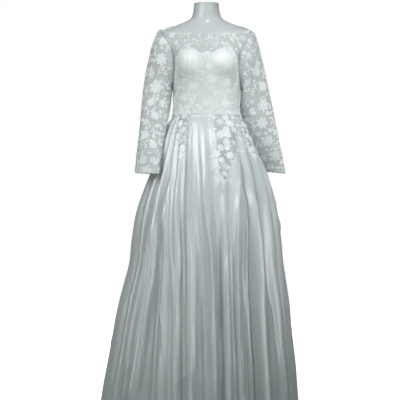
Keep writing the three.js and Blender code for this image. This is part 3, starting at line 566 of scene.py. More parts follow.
# Soft cross folds at the elbow and above the cuff: side, place down the sleeve, share of the girth,
# slant, width and height.
SLEEVE_FOLDS = [
    (-1, 225, 0.30, 14, 9, 2.6), (-1, 262, 0.42, -18, 8, -2.4), (-1, 300, 0.25, 10, 9, 2.2),
    (-1, 180, 0.45, 20, 9, -2.2), (-1, 415, 0.35, 12, 9, 2.2), (-1, 470, 0.20, -12, 8, 2.0),
    (-1, 250, 0.75, 14, 9, 2.6), (-1, 340, 0.80, -12, 9, -2.4), (1, 210, 0.40, 16, 9, 2.4),
    (1, 255, 0.28, -14, 9, -2.4), (1, 300, 0.44, 12, 8, 2.2), (1, 390, 0.22, 12, 9, 2.2),
    (1, 450, 0.38, -14, 9, -2.0), (1, 240, 0.72, 14, 9, 2.6), (1, 350, 0.78, -12, 9, 2.4),
]


def sleeve_point(side, share, place):
    """share is of the girth from the outer fold round by the front, place is mm down the sleeve."""
    rows = SLEEVE_RINGS[side]
    share, place = np.broadcast_arrays(np.asarray(share, float), np.asarray(place, float))
    flat_share, flat_place = share.ravel() % 1, place.ravel()
    rings = smooth_curve(flat_place, rows["place"], RINGS[side])
    at = flat_share * GIRTH_STEPS
    k = np.floor(at).astype(int) % GIRTH_STEPS
    t = (at - np.floor(at))[:, None]
    rows_here = np.arange(len(k))
    p0, p1, p2, p3 = (rings[rows_here, (k + shift) % GIRTH_STEPS] for shift in (-1, 0, 1, 2))
    points = 0.5 * (2 * p1 + (p2 - p0) * t + (2 * p0 - 5 * p1 + 4 * p2 - p3) * t**2
                    + (3 * p1 - p0 - 3 * p2 + p3) * t**3)
    middle = rings.mean(axis=1)
    out = points - middle
    girth = np.linalg.norm(np.diff(rings, axis=1), axis=-1).sum(axis=-1)
    off = np.zeros(len(k))
    for one, down, where, slant, width, height in SLEEVE_FOLDS:
        if one != side:
            continue
        u = (flat_share - where) * girth
        off += height * np.exp(-(((flat_place - down - u * slant / 60) / width) ** 2) - (u / 42) ** 2)
    points += out / np.linalg.norm(out, axis=-1, keepdims=True) * off[:, None]
    return points.reshape(share.shape + (3,))


def sleeve_surface(side):
    """The outer face of a sleeve as a function of share, place and lift."""
    def surface(share, place, lift=0.0):
        shape = lambda a, b: sleeve_point(side, a, b)
        inside = np.clip(place, 1.5, SLEEVE_RINGS[side]["place"][-1])
        wall = 1.2 + lift + np.zeros(np.shape(place))
        return lifted(shape, np.asarray(share, float), inside, side * wall, 0.004, 1.4)
    return surface


for side in (-1, 1):
    girths = [np.linalg.norm(np.diff(ring, axis=0, append=ring[:1]), axis=-1).sum() for ring in RINGS[side]]
    print("girth at the top, elbow and cuff, mm:", [round(girths[k]) for k in (1, 6, 11)])

# %% [markdown]
# ## The finishes
# Each finish starts from what the real cloth is. Colours are the usual screen hex values, turned to the
# linear numbers that a shader works in. Cloth carries a UV map in metres of cut cloth, so a weave
# follows the piece however it is folded.

# %% Colours, nodes and a new finish
def colour(hex_code):
    """Linear colour of an sRGB hex value."""
    parts = [int(hex_code[i:i + 2], 16) / 255 for i in (1, 3, 5)]
    return (*(c / 12.92 if c <= 0.04045 else ((c + 0.055) / 1.055) ** 2.4 for c in parts), 1)


def add(tree, kind, links=None, **settings):
    """A node with its settings, its inputs given as numbers or as the sockets that feed them."""
    node = tree.nodes.new(kind)
    for name, value in settings.items():
        setattr(node, name, value)
    for name, value in (links or {}).items():
        if isinstance(value, bpy.types.NodeSocket):
            tree.links.new(value, node.inputs[name])
        else:
            node.inputs[name].default_value = value
    return node


def begin_finish(name, **values):
    """A new finish and its shader, with the shader's own numbers set."""
    finish = bpy.data.materials.new(name)
    finish.use_nodes = True
    shader = finish.node_tree.nodes["Principled BSDF"]
    for socket, value in values.items():
        shader.inputs[socket.replace("_", " ")].default_value = value
    return finish, finish.node_tree, shader


# %% [markdown]
# Duchess satin is a tight weave whose long floats lie side by side, so it reflects like a soft mirror
# along them and shows every crush. Threads are 0.1 mm wide, too fine to show, so they are drawn as
# bands 7.5 mm apart: the Wave node makes a band in every 2 pi, and takes its place 20 times its scale.
# Slubs 7 cm long and crush marks two centimetres wide do the rest.

# %% Duchess satin of the skirt
def satin_finish(name, light, dark, roughness, crush):
    finish, tree, shader = begin_finish(
        name, Roughness=roughness, Specular_IOR_Level=0.9, Sheen_Weight=0.1, Sheen_Roughness=0.35,
        Anisotropic=0.35, Coat_Weight=0.3, Coat_Roughness=0.16,
    )
    uv = add(tree, "ShaderNodeTexCoord")
    slub_map = add(tree, "ShaderNodeMapping", {"Vector": uv.outputs["UV"], "Scale": (1 / 0.006, 1 / 0.07, 1)})
    slubs = add(tree, "ShaderNodeTexNoise", {"Vector": slub_map.outputs[0], "Scale": 1, "Detail": 3})
    crush_map = add(tree, "ShaderNodeMapping", {"Vector": uv.outputs["UV"], "Scale": (1 / 0.02, 1 / 0.034, 1),
                                                "Rotation": (0, 0, 0.35)})
    crushed = add(tree, "ShaderNodeTexNoise", {"Vector": crush_map.outputs[0], "Scale": 1, "Detail": 4,
                                               "Roughness": 0.62, "Distortion": 0.8})
    threads = add(tree, "ShaderNodeTexWave", {"Vector": uv.outputs["UV"], "Scale": 1 / 0.0012 / 20,
                                              "Distortion": 0.6, "Detail": 1}, bands_direction="X")
    tone = add(tree, "ShaderNodeMix", {"Factor": slubs.outputs["Fac"], "A": colour(light),
                                       "B": colour(dark)}, data_type="RGBA")
    tree.links.new(tone.outputs["Result"], shader.inputs["Base Color"])
    bump = add(tree, "ShaderNodeBump", {"Height": threads.outputs["Fac"], "Strength": 0.12,
                                        "Distance": 0.0001})
    bump = add(tree, "ShaderNodeBump", {"Height": slubs.outputs["Fac"], "Strength": 0.25, "Distance": 0.0004,
                                        "Normal": bump.outputs[0]})
    bump = add(tree, "ShaderNodeBump", {"Height": crushed.outputs["Fac"], "Strength": crush,
                                        "Distance": 0.0022, "Normal": bump.outputs[0]})
    tree.links.new(bump.outputs[0], shader.inputs["Normal"])
    return finish


duchess_satin = satin_finish("duchess_satin_woven", "#bdc5c5", "#abb5b5", 0.27, 0.5)

# %% [markdown]
# The bodice is the same satin, but a fine net of the lace lies all over it. The net breaks the gloss up
# and shows as a faint mesh. Real meshes are 1 mm, drawn here at 3 mm on the satin. The yoke and sleeves
# are net alone, drawn at 2.4 mm. It is see-through between its threads, which one plain alpha gives,
# and its meshes are in the tone and the bump.

# %% Satin under net, and the net alone
def add_mesh_bump(tree, shader, size, strength, below=None):
    """Bump of a net's round meshes, over another bump where there is one."""
    uv = add(tree, "ShaderNodeTexCoord")
    cells = add(tree, "ShaderNodeTexVoronoi", {"Vector": uv.outputs["UV"], "Scale": 1 / size},
                feature="DISTANCE_TO_EDGE")
    links = {"Height": cells.outputs["Distance"], "Strength": strength, "Distance": -0.0006}
    if below:
        links["Normal"] = below
    bump = add(tree, "ShaderNodeBump", links)
    tree.links.new(bump.outputs[0], shader.inputs["Normal"])
    return cells


netted_satin = satin_finish("satin_under_lace_net", "#cbd2d2", "#adb6b5", 0.42, 0.35)
tree = netted_satin.node_tree
shader = tree.nodes["Principled BSDF"]
shader.inputs["Specular IOR Level"].default_value = 0.5
shader.inputs["Coat Weight"].default_value = 0.08
add_mesh_bump(tree, shader, 0.003, 0.35, shader.inputs["Normal"].links[0].from_socket)
# The lace leaves the middle of each cup bare, and the satin there is painted lighter: partly satin without
# its net, partly a painted sheen on the cups.
cup_line = bodice_surface(np.linspace(-90, -10, 81), np.full(81, 1332.0)) * MM
cup_middle = cup_line[np.argmin(np.abs(cup_line[:, 0] - CUP["x"] * MM))]
place = add(tree, "ShaderNodeTexCoord")
apart = [add(tree, "ShaderNodeVectorMath", {0: place.outputs["Object"], 1: cup_middle * (side, 1, 1)},
             operation="DISTANCE").outputs["Value"] for side in (-1, 1)]
nearer = add(tree, "ShaderNodeMath", {0: apart[0], 1: apart[1]}, operation="MINIMUM")
# Painted highlight: a lighter tone round the middle of each cup, partly bare satin, partly painted sheen.
bare_cup_painted_sheen = add(tree, "ShaderNodeMapRange", {"Value": nearer.outputs[0], "From Min": 0.022, "From Max": 0.058,
                                        "To Min": 1.0, "To Max": 0.0}, interpolation_type="SMOOTHSTEP")
netted = shader.inputs["Base Color"].links[0].from_socket
tone = add(tree, "ShaderNodeMix", {"Factor": bare_cup_painted_sheen.outputs[0], "A": netted, "B": colour("#d6dcdc")},
           data_type="RGBA")
tree.links.new(tone.outputs["Result"], shader.inputs["Base Color"])


def net_finish(name, light, dark, alpha):
    finish, tree, shader = begin_finish(
        name, Roughness=0.62, Specular_IOR_Level=0.3, Sheen_Weight=0.25, Sheen_Roughness=0.5, Alpha=alpha,
    )
    cells = add_mesh_bump(tree, shader, 0.0024, 0.5)
    tone = add(tree, "ShaderNodeMix", {"Factor": cells.outputs["Distance"], "A": colour(light),
                                       "B": colour(dark)}, data_type="RGBA")
    tree.links.new(tone.outputs["Result"], shader.inputs["Base Color"])
    return finish


sleeve_net = net_finish("nylon_net_of_the_sleeves", "#c3cbcb", "#a7b1b0", 0.62)
spray_net = net_finish("nylon_net_of_the_sprays", "#b6bfbf", "#99a3a1", 0.42)
yoke_net = net_finish("nylon_net_of_the_yoke", "#d3dada", "#c0c8c8", 0.34)

# %% [markdown]
# The lace is embroidered in two thicknesses: a thick rayon cord round each petal and leaf, which is
# white and slightly glossy, and a flat ground of close stitches inside, which is duller and greyer.

# %% Embroidery cord and stitched ground
def thread_finish(name, light, dark, thread, roughness, strength):
    finish, tree, shader = begin_finish(name, Roughness=roughness, Sheen_Weight=0.3, Sheen_Roughness=0.4)
    place = add(tree, "ShaderNodeTexCoord")
    twist = add(tree, "ShaderNodeTexNoise", {"Vector": place.outputs["Object"], "Scale": 1 / thread,
                                             "Detail": 2})
    tone = add(tree, "ShaderNodeMix", {"Factor": twist.outputs["Fac"], "A": colour(light), "B": colour(dark)},
               data_type="RGBA")
    tree.links.new(tone.outputs["Result"], shader.inputs["Base Color"])
    bump = add(tree, "ShaderNodeBump", {"Height": twist.outputs["Fac"], "Strength": strength,
                                        "Distance": 0.0003})
    tree.links.new(bump.outputs[0], shader.inputs["Normal"])
    return finish


rayon_cord = thread_finish("rayon_cord_embroidered", "#eff3f3", "#dde4e4", 0.0012, 0.42, 0.5)
stitched_ground = thread_finish("cotton_ground_stitched", "#ccd4d3", "#abb5b4", 0.0018, 0.7, 0.7)

# %% [markdown]
# Pearls are glass beads with a pearly skin. The form is glass fibre with a pale grey lacquer under a
# thin clear coat, which gives it its gloss. The stand is brushed stainless steel. Its brush marks run
# round the middle and are too fine to show, so they are drawn as rings 9 mm apart.

# %% Pearl, lacquer and brushed steel
def speckled_finish(name, light, dark, size, bump_depth, **values):
    finish, tree, shader = begin_finish(name, **values)
    place = add(tree, "ShaderNodeTexCoord")
    spots = add(tree, "ShaderNodeTexNoise", {"Vector": place.outputs["Object"], "Scale": 1 / size,
                                             "Detail": 3})
    tone = add(tree, "ShaderNodeMix", {"Factor": spots.outputs["Fac"], "A": colour(light), "B": colour(dark)},
               data_type="RGBA")
    tree.links.new(tone.outputs["Result"], shader.inputs["Base Color"])
    bump = add(tree, "ShaderNodeBump", {"Height": spots.outputs["Fac"], "Strength": 0.25,
                                        "Distance": bump_depth})
    tree.links.new(bump.outputs[0], shader.inputs["Normal"])
    return finish


pearl = speckled_finish("glass_pearl_coated", "#fbfbf8", "#e8e9e4", 0.004, 0.0001, Roughness=0.16,
                        Coat_Weight=0.6, Coat_Roughness=0.05)
grey_lacquer = speckled_finish("fibreglass_lacquered_grey", "#b0b8b8", "#a8b0b0", 0.012, 0.0002,
                               Roughness=0.5, Coat_Weight=0.5, Coat_Roughness=0.05)

brushed_steel, tree, shader = begin_finish("stainless_steel_brushed", Metallic=1, Roughness=0.3)
place = add(tree, "ShaderNodeTexCoord")
rings = add(tree, "ShaderNodeTexWave", {"Vector": place.outputs["Object"], "Scale": 1 / 0.0015 / 20,
                                        "Distortion": 1.5, "Detail": 3},
            wave_type="RINGS", rings_direction="Z")
tone = add(tree, "ShaderNodeMix", {"Factor": rings.outputs["Fac"], "A": colour("#c9ccce"),
                                   "B": colour("#a9adaf")}, data_type="RGBA")
tree.links.new(tone.outputs["Result"], shader.inputs["Base Color"])
bump = add(tree, "ShaderNodeBump", {"Height": rings.outputs["Fac"], "Strength": 0.15, "Distance": 0.0001})
tree.links.new(bump.outputs[0], shader.inputs["Normal"])
print(len(bpy.data.materials), "finishes so far")

# %% [markdown]
# ## Sheets of cloth
# A sheet starts as a flat grid. A function then says where each of its points goes, from 0 to 1 across
# and from 0 to 1 up. The points are moved all at once, which is far quicker than one by one. A Solidify
# modifier gives the sheet its thickness, inwards.

# %% From a grid to a sheet
def sheet_mesh(name, columns, rows, place, cut):
    """A grid whose points are put by place(across, up), in mm. cut is its flat size for the weave."""
    bm = bmesh.new()
    bmesh.ops.create_grid(bm, x_segments=columns, y_segments=rows, size=0.5)
    mesh = bpy.data.meshes.new(name)
    bm.to_mesh(mesh)
    flat = np.empty(len(mesh.vertices) * 3)
    mesh.vertices.foreach_get("co", flat)
    across, up = flat.reshape(-1, 3)[:, 0] + 0.5, flat.reshape(-1, 3)[:, 1] + 0.5
    corner = np.empty(len(mesh.loops), dtype=int)
    mesh.loops.foreach_get("vertex_index", corner)
    uv = np.stack([across[corner] * cut[0], up[corner] * cut[1]], axis=-1) * MM
    mesh.uv_layers.new(name="cut").data.foreach_set("uv", uv.ravel())
    mesh.vertices.foreach_set("co", (place(across, up) * MM).ravel())
    bm.free()
    welded = bmesh.new()
    welded.from_mesh(mesh)
    bmesh.ops.remove_doubles(welded, verts=welded.verts, dist=0.02 * MM)
    welded.to_mesh(mesh)
    welded.free()
    return mesh


def face_out(mesh, upright=True):
    """Turns a sheet's faces away from the upright axis, or from its own middle."""
    count = len(mesh.polygons)
    centres, normals, areas = np.empty(count * 3), np.empty(count * 3), np.empty(count)
    mesh.polygons.foreach_get("center", centres)
    mesh.polygons.foreach_get("normal", normals)
    mesh.polygons.foreach_get("area", areas)
    centres = centres.reshape(-1, 3)
    away = centres * (1, 1, 0) if upright else centres - centres.mean(axis=0)
    if ((normals.reshape(-1, 3) * away).sum(axis=-1) * areas).sum() < 0:
        mesh.flip_normals()
    return areas.sum()


def finished_piece(name, mesh, finishes, nodes=()):
    """The object of a mesh, smooth, with its finishes, on the dress and in place of its CAD nodes."""
    for finish in finishes:
        mesh.materials.append(finish)
    mesh.polygons.foreach_set("use_smooth", [True] * len(mesh.polygons))
    piece = bpy.data.objects.new(name, mesh)
    bpy.context.scene.collection.objects.link(piece)
    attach(piece, "root")
    if nodes:
        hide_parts(*nodes)
    return piece


def cloth(name, columns, rows, place, cut, finish, node, thickness=0.7, upright=True):
    mesh = sheet_mesh(name, columns, rows, place, cut)
    area = face_out(mesh, upright)
    piece = finished_piece(name, mesh, [finish], [node])
    wall = piece.modifiers.new("thickness", "SOLIDIFY")
    wall.thickness = thickness * MM
    wall.offset = -1
    print(name, "faces", len(mesh.polygons), "area m2", round(area, 4))
    return piece


# %% [markdown]
# ## The skirt
# Five gores of satin, sewn together in the valleys of the folds, where a dressmaker hides the seams. Each
# is a fine grid over its own part of the creased shape. A real hem is turned up and double, so the last
# two centimetres stand out by half a millimetre here.

# %% The five gores
GORES = [
    ("skirt_front", 4, 8, (425, 1150)), ("skirt_side_right", 8, 12, (680, 1150)),
    ("skirt_back_right", 12, 17, (810, 1180)), ("skirt_back_left", 17, 21, (750, 1180)),
    ("skirt_side_left", 21, 26, (710, 1160)),
]
HEM_TURN, HEM_RISE = 22, 0.5  # mm
SEAM_SUNK, SEAM_REACH = 0.8, 0.03  # mm, and a share of a fold
COLUMNS_TO_A_FOLD, GORE_ROWS = 20, 130
for name, first, last, cut in GORES:
    def gore_place(across, up, first=first, last=last):
        fold = first + FOLD_SEAM + (last - first) * across
        z = HEM + (WAIST - HEM) * up
        points = creased_skirt(fold, z)
        seam = np.minimum(across, 1 - across) * (last - first)
        relief = HEM_RISE * (1 - smoothstep(z, HEM + HEM_TURN - 2, HEM + HEM_TURN + 1))
        relief = relief - SEAM_SUNK * np.exp(-((seam / SEAM_REACH) ** 2))
        return points + level_out(points) * relief[:, None]

    columns = (last - first) * COLUMNS_TO_A_FOLD
    cloth("satin_" + name, columns, GORE_ROWS, gore_place, cut, duchess_satin, name)

# %% [markdown]
# ## The bodice and yoke
# The satin ends in a sweetheart edge over the cups. Princess seams run over the cups, and side and
# centre back seams close it. The yoke continues the same skin in net alone, up to the neckline.

# %% Panels of the bodice
def bodice_place(front, first, last, top, bottom=None):
    """Place function of a panel between two places across, from the waist or another edge up to top."""
    def place(across, up):
        turn = first + (last - first) * across
        low = WAIST if bottom is None else read(EDGES, bottom, np.abs(turn))
        high = read(EDGES, top, np.abs(turn))
        z = low + (high - low) * up
        surface = bodice_surface if bottom is None else yoke_surface
        return surface(bodice_bearing(turn, z, front), z)
    return place


SATIN_PANELS = [
    ("bodice_centre_front", True, -PRINCESS, PRINCESS, 64, (215, 262)),
    ("bodice_side_front_left", True, -1, -PRINCESS, 32, (128, 262)),
    ("bodice_side_front_right", True, PRINCESS, 1, 32, (128, 262)),
    ("bodice_back_left", False, -1, 0, 48, (185, 200)),
    ("bodice_back_right", False, 0, 1, 48, (185, 200)),
]
NET_PANELS = [
    ("yoke_front", True, -1, 1, 72, (380, 175)),
    ("yoke_back_left", False, -1, 0, 36, (190, 190)),
    ("yoke_back_right", False, 0, 1, 36, (190, 190)),
]
for name, front, first, last, columns, cut in SATIN_PANELS:
    place = bodice_place(front, first, last, "sweetheart" if front else "satinBack")
    cloth("satin_" + name, columns, 60, place, cut, netted_satin, name, 0.9)
for name, front, first, last, columns, cut in NET_PANELS:
    edges = ("neckFront", "sweetheart") if front else ("neckBack", "satinBack")
    place = bodice_place(front, first, last, *edges)
    cloth("net_" + name, columns, 44, place, cut, yoke_net, name, 0.35)

# %% [markdown]
# ## The sleeves
# Each sleeve is one tube of net. Its cuff ends in small scallops, so the last two centimetres reach
# down in waves.

# %% Two tubes of net
SCALLOP, SCALLOPS = 5, 13
for side, word in ((-1, "left"), (1, "right")):
    length = SLEEVE_RINGS[side]["place"][-1]

    def sleeve_place(across, up, side=side, length=length):
        down = length * (1 - up)
        points = sleeve_surface(side)(across, down)
        dip = SCALLOP * (0.5 - 0.5 * np.cos(2 * np.pi * SCALLOPS * across))
        points[:, 2] -= dip * smoothstep(down, length - 20, length)
        return points

    cloth("net_sleeve_" + word, 104, 90, sleeve_place, (430, 545), sleeve_net,
                          "sleeve_" + word, 0.35, upright=False)

# %% [markdown]
# ## The lace
# Bridal lace repeats a few motifs: a large open flower, a small blossom, leaves on a stem and curling
# cords. Each is drawn once, flat, in millimetres: a petal starts as a circle, is pulled to its outline,
# given an edge and inset, so that a raised cord is left round a lower ground. Copies are then laid on
# the cloth by its own two coordinates and bent with it.

# %% Petals, leaves and cords
def petal(bm, at, turn, length, width, point, lift=0.0, cord=1.0, sides=10):
    """A petal or leaf from a place outwards. point is 0 for a round tip and 1 for a sharp one."""
    made = bmesh.ops.create_circle(bm, cap_ends=True, segments=sides, radius=0.5)["verts"]
    for v in made:
        x = v.co.x + 0.5
        narrow = (1 - x) ** (0.75 * point) * (0.55 + 0.45 * min(1, x * 2.4))
        v.co = Vector((x * length, v.co.y * width * (1 + 0.5 * point) * narrow, 0))
    bmesh.ops.rotate(bm, verts=made, cent=(0, 0, 0), matrix=Matrix.Rotation(turn, 3, "Z"))
    bmesh.ops.translate(bm, verts=made, vec=(at[0], at[1], lift))
    face = made[0].link_faces[0]
    if face.normal.z < 0:
        face.normal_flip()
    raised = bmesh.ops.extrude_face_region(bm, geom=[face])["geom"]
    top = next(part for part in raised if isinstance(part, bmesh.types.BMFace))
    bmesh.ops.translate(bm, verts=top.verts[:], vec=(0, 0, 0.35))
    bmesh.ops.inset_individual(bm, faces=[top], thickness=cord * 0.75, depth=0.6)
    bmesh.ops.inset_individual(bm, faces=[top], thickness=cord * 0.75, depth=-0.55)
    for part in bmesh.ops.poke(bm, faces=[top], offset=0.1)["faces"]:
        part.material_index = 1


def cord_line(bm, path, width, height=1.1, lift=0.0):
    """A cord along a flat path of points, four-sided, its ends closed."""
    path = np.asarray(path, float)
    before = set(bm.verts)
    bmesh.ops.create_grid(bm, x_segments=len(path) - 1, y_segments=4, size=0.5)
    made = [v for v in bm.verts if v not in before]
    heading = np.gradient(path, axis=0)
    heading /= np.linalg.norm(heading, axis=-1, keepdims=True)
    for v in made:
        k = round((v.co.x + 0.5) * (len(path) - 1))
        round_it = 2 * math.pi * (v.co.y + 0.5)
        taper = 0.45 + 0.55 * math.sin(math.pi * min(1, (k + 1) / len(path) * 1.2)) ** 0.5
        aside = math.cos(round_it) * width / 2 * taper
        v.co = Vector((path[k][0] - heading[k][1] * aside, path[k][1] + heading[k][0] * aside,
                       lift + height * (0.5 + 0.5 * math.sin(round_it))))
    bmesh.ops.remove_doubles(bm, verts=made, dist=1e-4)
    ends = [e for e in bm.edges if e.is_boundary]
    bmesh.ops.holes_fill(bm, edges=ends, sides=4)


def flower(bm, radius, outer, inner):
    """A flower of outer and inner petals round a raised middle."""
    for k in range(outer):
        turn = 2 * math.pi * k / outer
        start = (math.cos(turn) * radius * 0.28, math.sin(turn) * radius * 0.28)
        petal(bm, start, turn, radius * 0.72, radius * 3.7 / outer, 0.12, lift=0.1 * (k % 2),
              cord=radius * 0.07)
    for k in range(inner):
        turn = 2 * math.pi * (k + 0.5) / inner
        start = (math.cos(turn) * radius * 0.07, math.sin(turn) * radius * 0.07)
        petal(bm, start, turn, radius * 0.3, radius * 1.6 / inner, 0.2, 0.55, radius * 0.045, sides=8)


def stem_curve(length, bend, steps=12):
    """A bowed stem that starts at the origin along +X."""
    t = np.linspace(0, 1, steps)
    return np.stack([t * length, bend * np.sin(t * math.pi * 0.5) * t], axis=-1)


def leafy_stem(bm, length, bend, leaves, leaf):
    path = stem_curve(length, bend)
    cord_line(bm, path, 1.8)
    for k in range(leaves):
        t = (k + 0.6) / leaves
        at = path[min(int(t * (len(path) - 1)), len(path) - 2)]
        side = 1 if k % 2 else -1
        size = leaf * (1.1 - 0.45 * t)
        petal(bm, at, side * 0.8 + bend / length * t, size, size * 0.42, 0.9)
    petal(bm, path[-1], math.atan2(*(path[-1] - path[-2])[::-1]), leaf * 0.9, leaf * 0.36, 0.9)


def curl(bm, length, turns):
    t = np.linspace(0, 1, 18)
    angle = turns * 2 * math.pi * t**1.6
    step = np.stack([np.cos(angle), np.sin(angle)], axis=-1) * (length / 17) * (1.25 - t)[:, None]
    cord_line(bm, np.concatenate([[(0, 0)], step.cumsum(axis=0)]), 1.7)
    petal(bm, (length * 0.12, 0), -0.7, length * 0.2, length * 0.09, 0.9)
    petal(bm, (length * 0.3, 0), 0.9, length * 0.2, length * 0.09, 0.9)


def drawn(name, draw, *sizes):
    """One motif as a flat mesh."""
    bm = bmesh.new()
    draw(bm, *sizes)
    bmesh.ops.recalc_face_normals(bm, faces=bm.faces)
    mesh = bpy.data.meshes.new(name)
    bm.to_mesh(mesh)
    bm.free()
    return mesh


motifs = {
    "rose": drawn("rose", flower, 24, 7, 5),
    "blossom": drawn("blossom", flower, 11, 5, 3),
    "leaf": drawn("leaf", petal, (0, 0), 0, 22, 8.5, 0.9),
    "shell": drawn("shell", petal, (0, 0), 0, 8, 8, 0.0, 0.0, 0.8),
    "branch": drawn("branch", leafy_stem, 52, 14, 6, 19),
    "twig": drawn("twig", leafy_stem, 26, -7, 3, 13),
    "curl": drawn("curl", curl, 46, 0.85),
}
for name, mesh in motifs.items():
    print(name, "triangles", sum(len(p.vertices) - 2 for p in mesh.polygons))


# %% Lace laid on cloth
def lace(name, surface, laid, steps, nodes=()):
    """Motifs laid on a surface. laid lists motif, the two coordinates, size, turn in degrees and lift.

    A motif is drawn with X to the right and Y up, as seen from outside, whatever way the two coordinates
    of the surface run, so each gets its own matrix from the plane of the drawing to the coordinates.
    """
    a, b = (np.array([row[k] for row in laid], float) for k in (1, 2))
    along_a = (surface(a + steps[0], b) - surface(a - steps[0], b)) / (2 * steps[0])
    along_b = (surface(a, b + steps[1]) - surface(a, b - steps[1])) / (2 * steps[1])
    out = surface(a, b, 1.0) - surface(a, b)
    out /= np.linalg.norm(out, axis=-1, keepdims=True)
    up = np.array([0.0, 0.0, 1.0]) - out * out[:, 2:]
    up /= np.linalg.norm(up, axis=-1, keepdims=True)
    right = np.cross(up, out)
    bm = bmesh.new()
    for k, (motif, at_a, at_b, size, turn, lift) in enumerate(laid):
        to_plane = [[along_a[k] @ right[k], along_b[k] @ right[k]], [along_a[k] @ up[k], along_b[k] @ up[k]]]
        (aa, ab), (ba, bb) = np.linalg.inv(to_plane)
        skew = Matrix(((aa, ab, 0, at_a), (ba, bb, 0, at_b), (0, 0, 1, lift), (0, 0, 0, 1)))
        copy = motifs[motif].copy()
        turned = Matrix.Rotation(math.radians(turn), 4, "Z")
        copy.transform(skew @ turned @ Matrix.Diagonal((size, size, 1, 1)))
        bm.from_mesh(copy)
        bpy.data.meshes.remove(copy)
    mesh = bpy.data.meshes.new(name)
    bm.to_mesh(mesh)
    flat = np.empty(len(mesh.vertices) * 3)
    mesh.vertices.foreach_get("co", flat)
    u, v, lift = flat.reshape(-1, 3).T
    mesh.vertices.foreach_set("co", (surface(u, v, lift) * MM).ravel())
    bm.free()
    bent = bmesh.new()
    bent.from_mesh(mesh)
    bmesh.ops.recalc_face_normals(bent, faces=bent.faces)
    bent.to_mesh(mesh)
    bent.free()
    print(name, len(laid), "motifs,", sum(len(p.vertices) - 2 for p in mesh.polygons), "triangles")
    return finished_piece(name, mesh, [rayon_cord, stitched_ground], nodes)


ROSE_REACH, SMALL_REACH = 22, 9  # mm kept free round a motif of size 1


def fill_between(surface, ranges, inside, laid, choices, spacing, tries, seed):
    """More motifs in the free places of a surface, no two nearer than spacing in mm."""
    rng = np.random.default_rng(seed)
    a, b = rng.uniform(*ranges[0], tries), rng.uniform(*ranges[1], tries)
    good = inside(a, b)
    a, b = a[good], b[good]
    points = surface(a, b)
    centres = np.array([surface(np.array([row[1]]), np.array([row[2]]))[0] for row in laid])
    reach = np.array([ROSE_REACH * row[3] if row[0] == "rose" else SMALL_REACH for row in laid])
    more = []
    for k in range(len(a)):
        away = np.linalg.norm(centres - points[k], axis=-1)
        if (away < reach + spacing * 0.5).any():
            continue
        motif, size = choices[rng.integers(len(choices))]
        more.append((motif, a[k], b[k], size * rng.uniform(0.85, 1.15), rng.uniform(0, 360), 0.2))
        centres, reach = np.vstack([centres, points[k]]), np.append(reach, spacing * 0.5)
    return more

# %% [markdown]
# The photograph shows where the large flowers are on the sleeves, so those are placed by their pixels.
# The side of each sleeve that is turned away gets its own, and small motifs fill what is left.

# %% Lace of the sleeves
SLEEVE_LACE = {
    -1: [
        ("rose", 161, 59, 1.05, 20), ("rose", 156, 87, 1.1, 50), ("rose", 163, 41, 0.8, 0),
        ("blossom", 170, 46, 1.2, 0), ("blossom", 152, 73, 1.2, 0), ("branch", 150, 79, 0.8, 70),
        ("rose", 151, 102, 0.7, 10), ("blossom", 162, 103, 1.3, 0), ("branch", 166, 76, 0.75, 100),
        ("rose", 155, 116, 0.75, 30), ("blossom", 146, 122, 1.2, 0), ("rose", 145, 135, 0.8, 0),
        ("branch", 152, 128, 0.7, -60), ("rose", 153, 145, 0.8, 15), ("branch", 141, 147, 0.7, 80),
        ("rose", 143, 160, 0.85, 40), ("blossom", 153, 160, 1.3, 0), ("branch", 147, 170, 0.6, 180),
        ("twig", 158, 92, 1, -80), ("curl", 161, 68, 0.7, 200), ("twig", 146, 94, 1, 90),
    ],
    1: [
        ("rose", 258, 44, 0.85, 0), ("rose", 266, 57, 0.9, 30), ("rose", 256, 71, 0.95, 10),
        ("rose", 263, 86, 0.9, 50), ("rose", 263, 105, 1.05, 20), ("rose", 262, 123, 1.0, 0),
        ("rose", 267, 141, 0.95, 40), ("rose", 276, 156, 0.9, 10), ("blossom", 249, 55, 1.2, 0),
        ("branch", 247, 62, 0.7, -80), ("blossom", 248, 83, 1.2, 0), ("branch", 251, 96, 0.75, 60),
        ("blossom", 270, 75, 1.1, 0), ("branch", 271, 95, 0.7, 90), ("blossom", 252, 112, 1.2, 0),
        ("branch", 253, 132, 0.7, 70), ("twig", 272, 116, 1, -80), ("blossom", 275, 132, 1.2, 0),
        ("branch", 279, 145, 0.6, -80), ("rose", 263, 158, 0.7, 0), ("blossom", 270, 167, 1.2, 0),
        ("branch", 282, 168, 0.6, 160), ("twig", 256, 146, 1, -90),
    ],
}
FAR_SIDE = [  # motif, share of the girth, mm down the sleeve, size, turn
    ("rose", 0.62, 70, 1.0, 0), ("rose", 0.83, 110, 1.05, 30), ("rose", 0.66, 165, 1.0, 10),
    ("rose", 0.86, 215, 0.95, 0), ("rose", 0.63, 260, 0.95, 40), ("rose", 0.82, 315, 0.9, 0),
    ("rose", 0.60, 350, 0.85, 20), ("rose", 0.80, 400, 0.85, 0), ("rose", 0.62, 440, 0.8, 30),
    ("rose", 0.84, 480, 0.8, 0), ("branch", 0.74, 140, 0.9, -70), ("branch", 0.75, 245, 0.9, 110),
    ("branch", 0.72, 335, 0.8, -60), ("branch", 0.72, 425, 0.8, 100), ("curl", 0.74, 60, 0.8, 200),
]
sleeve_pieces = {}
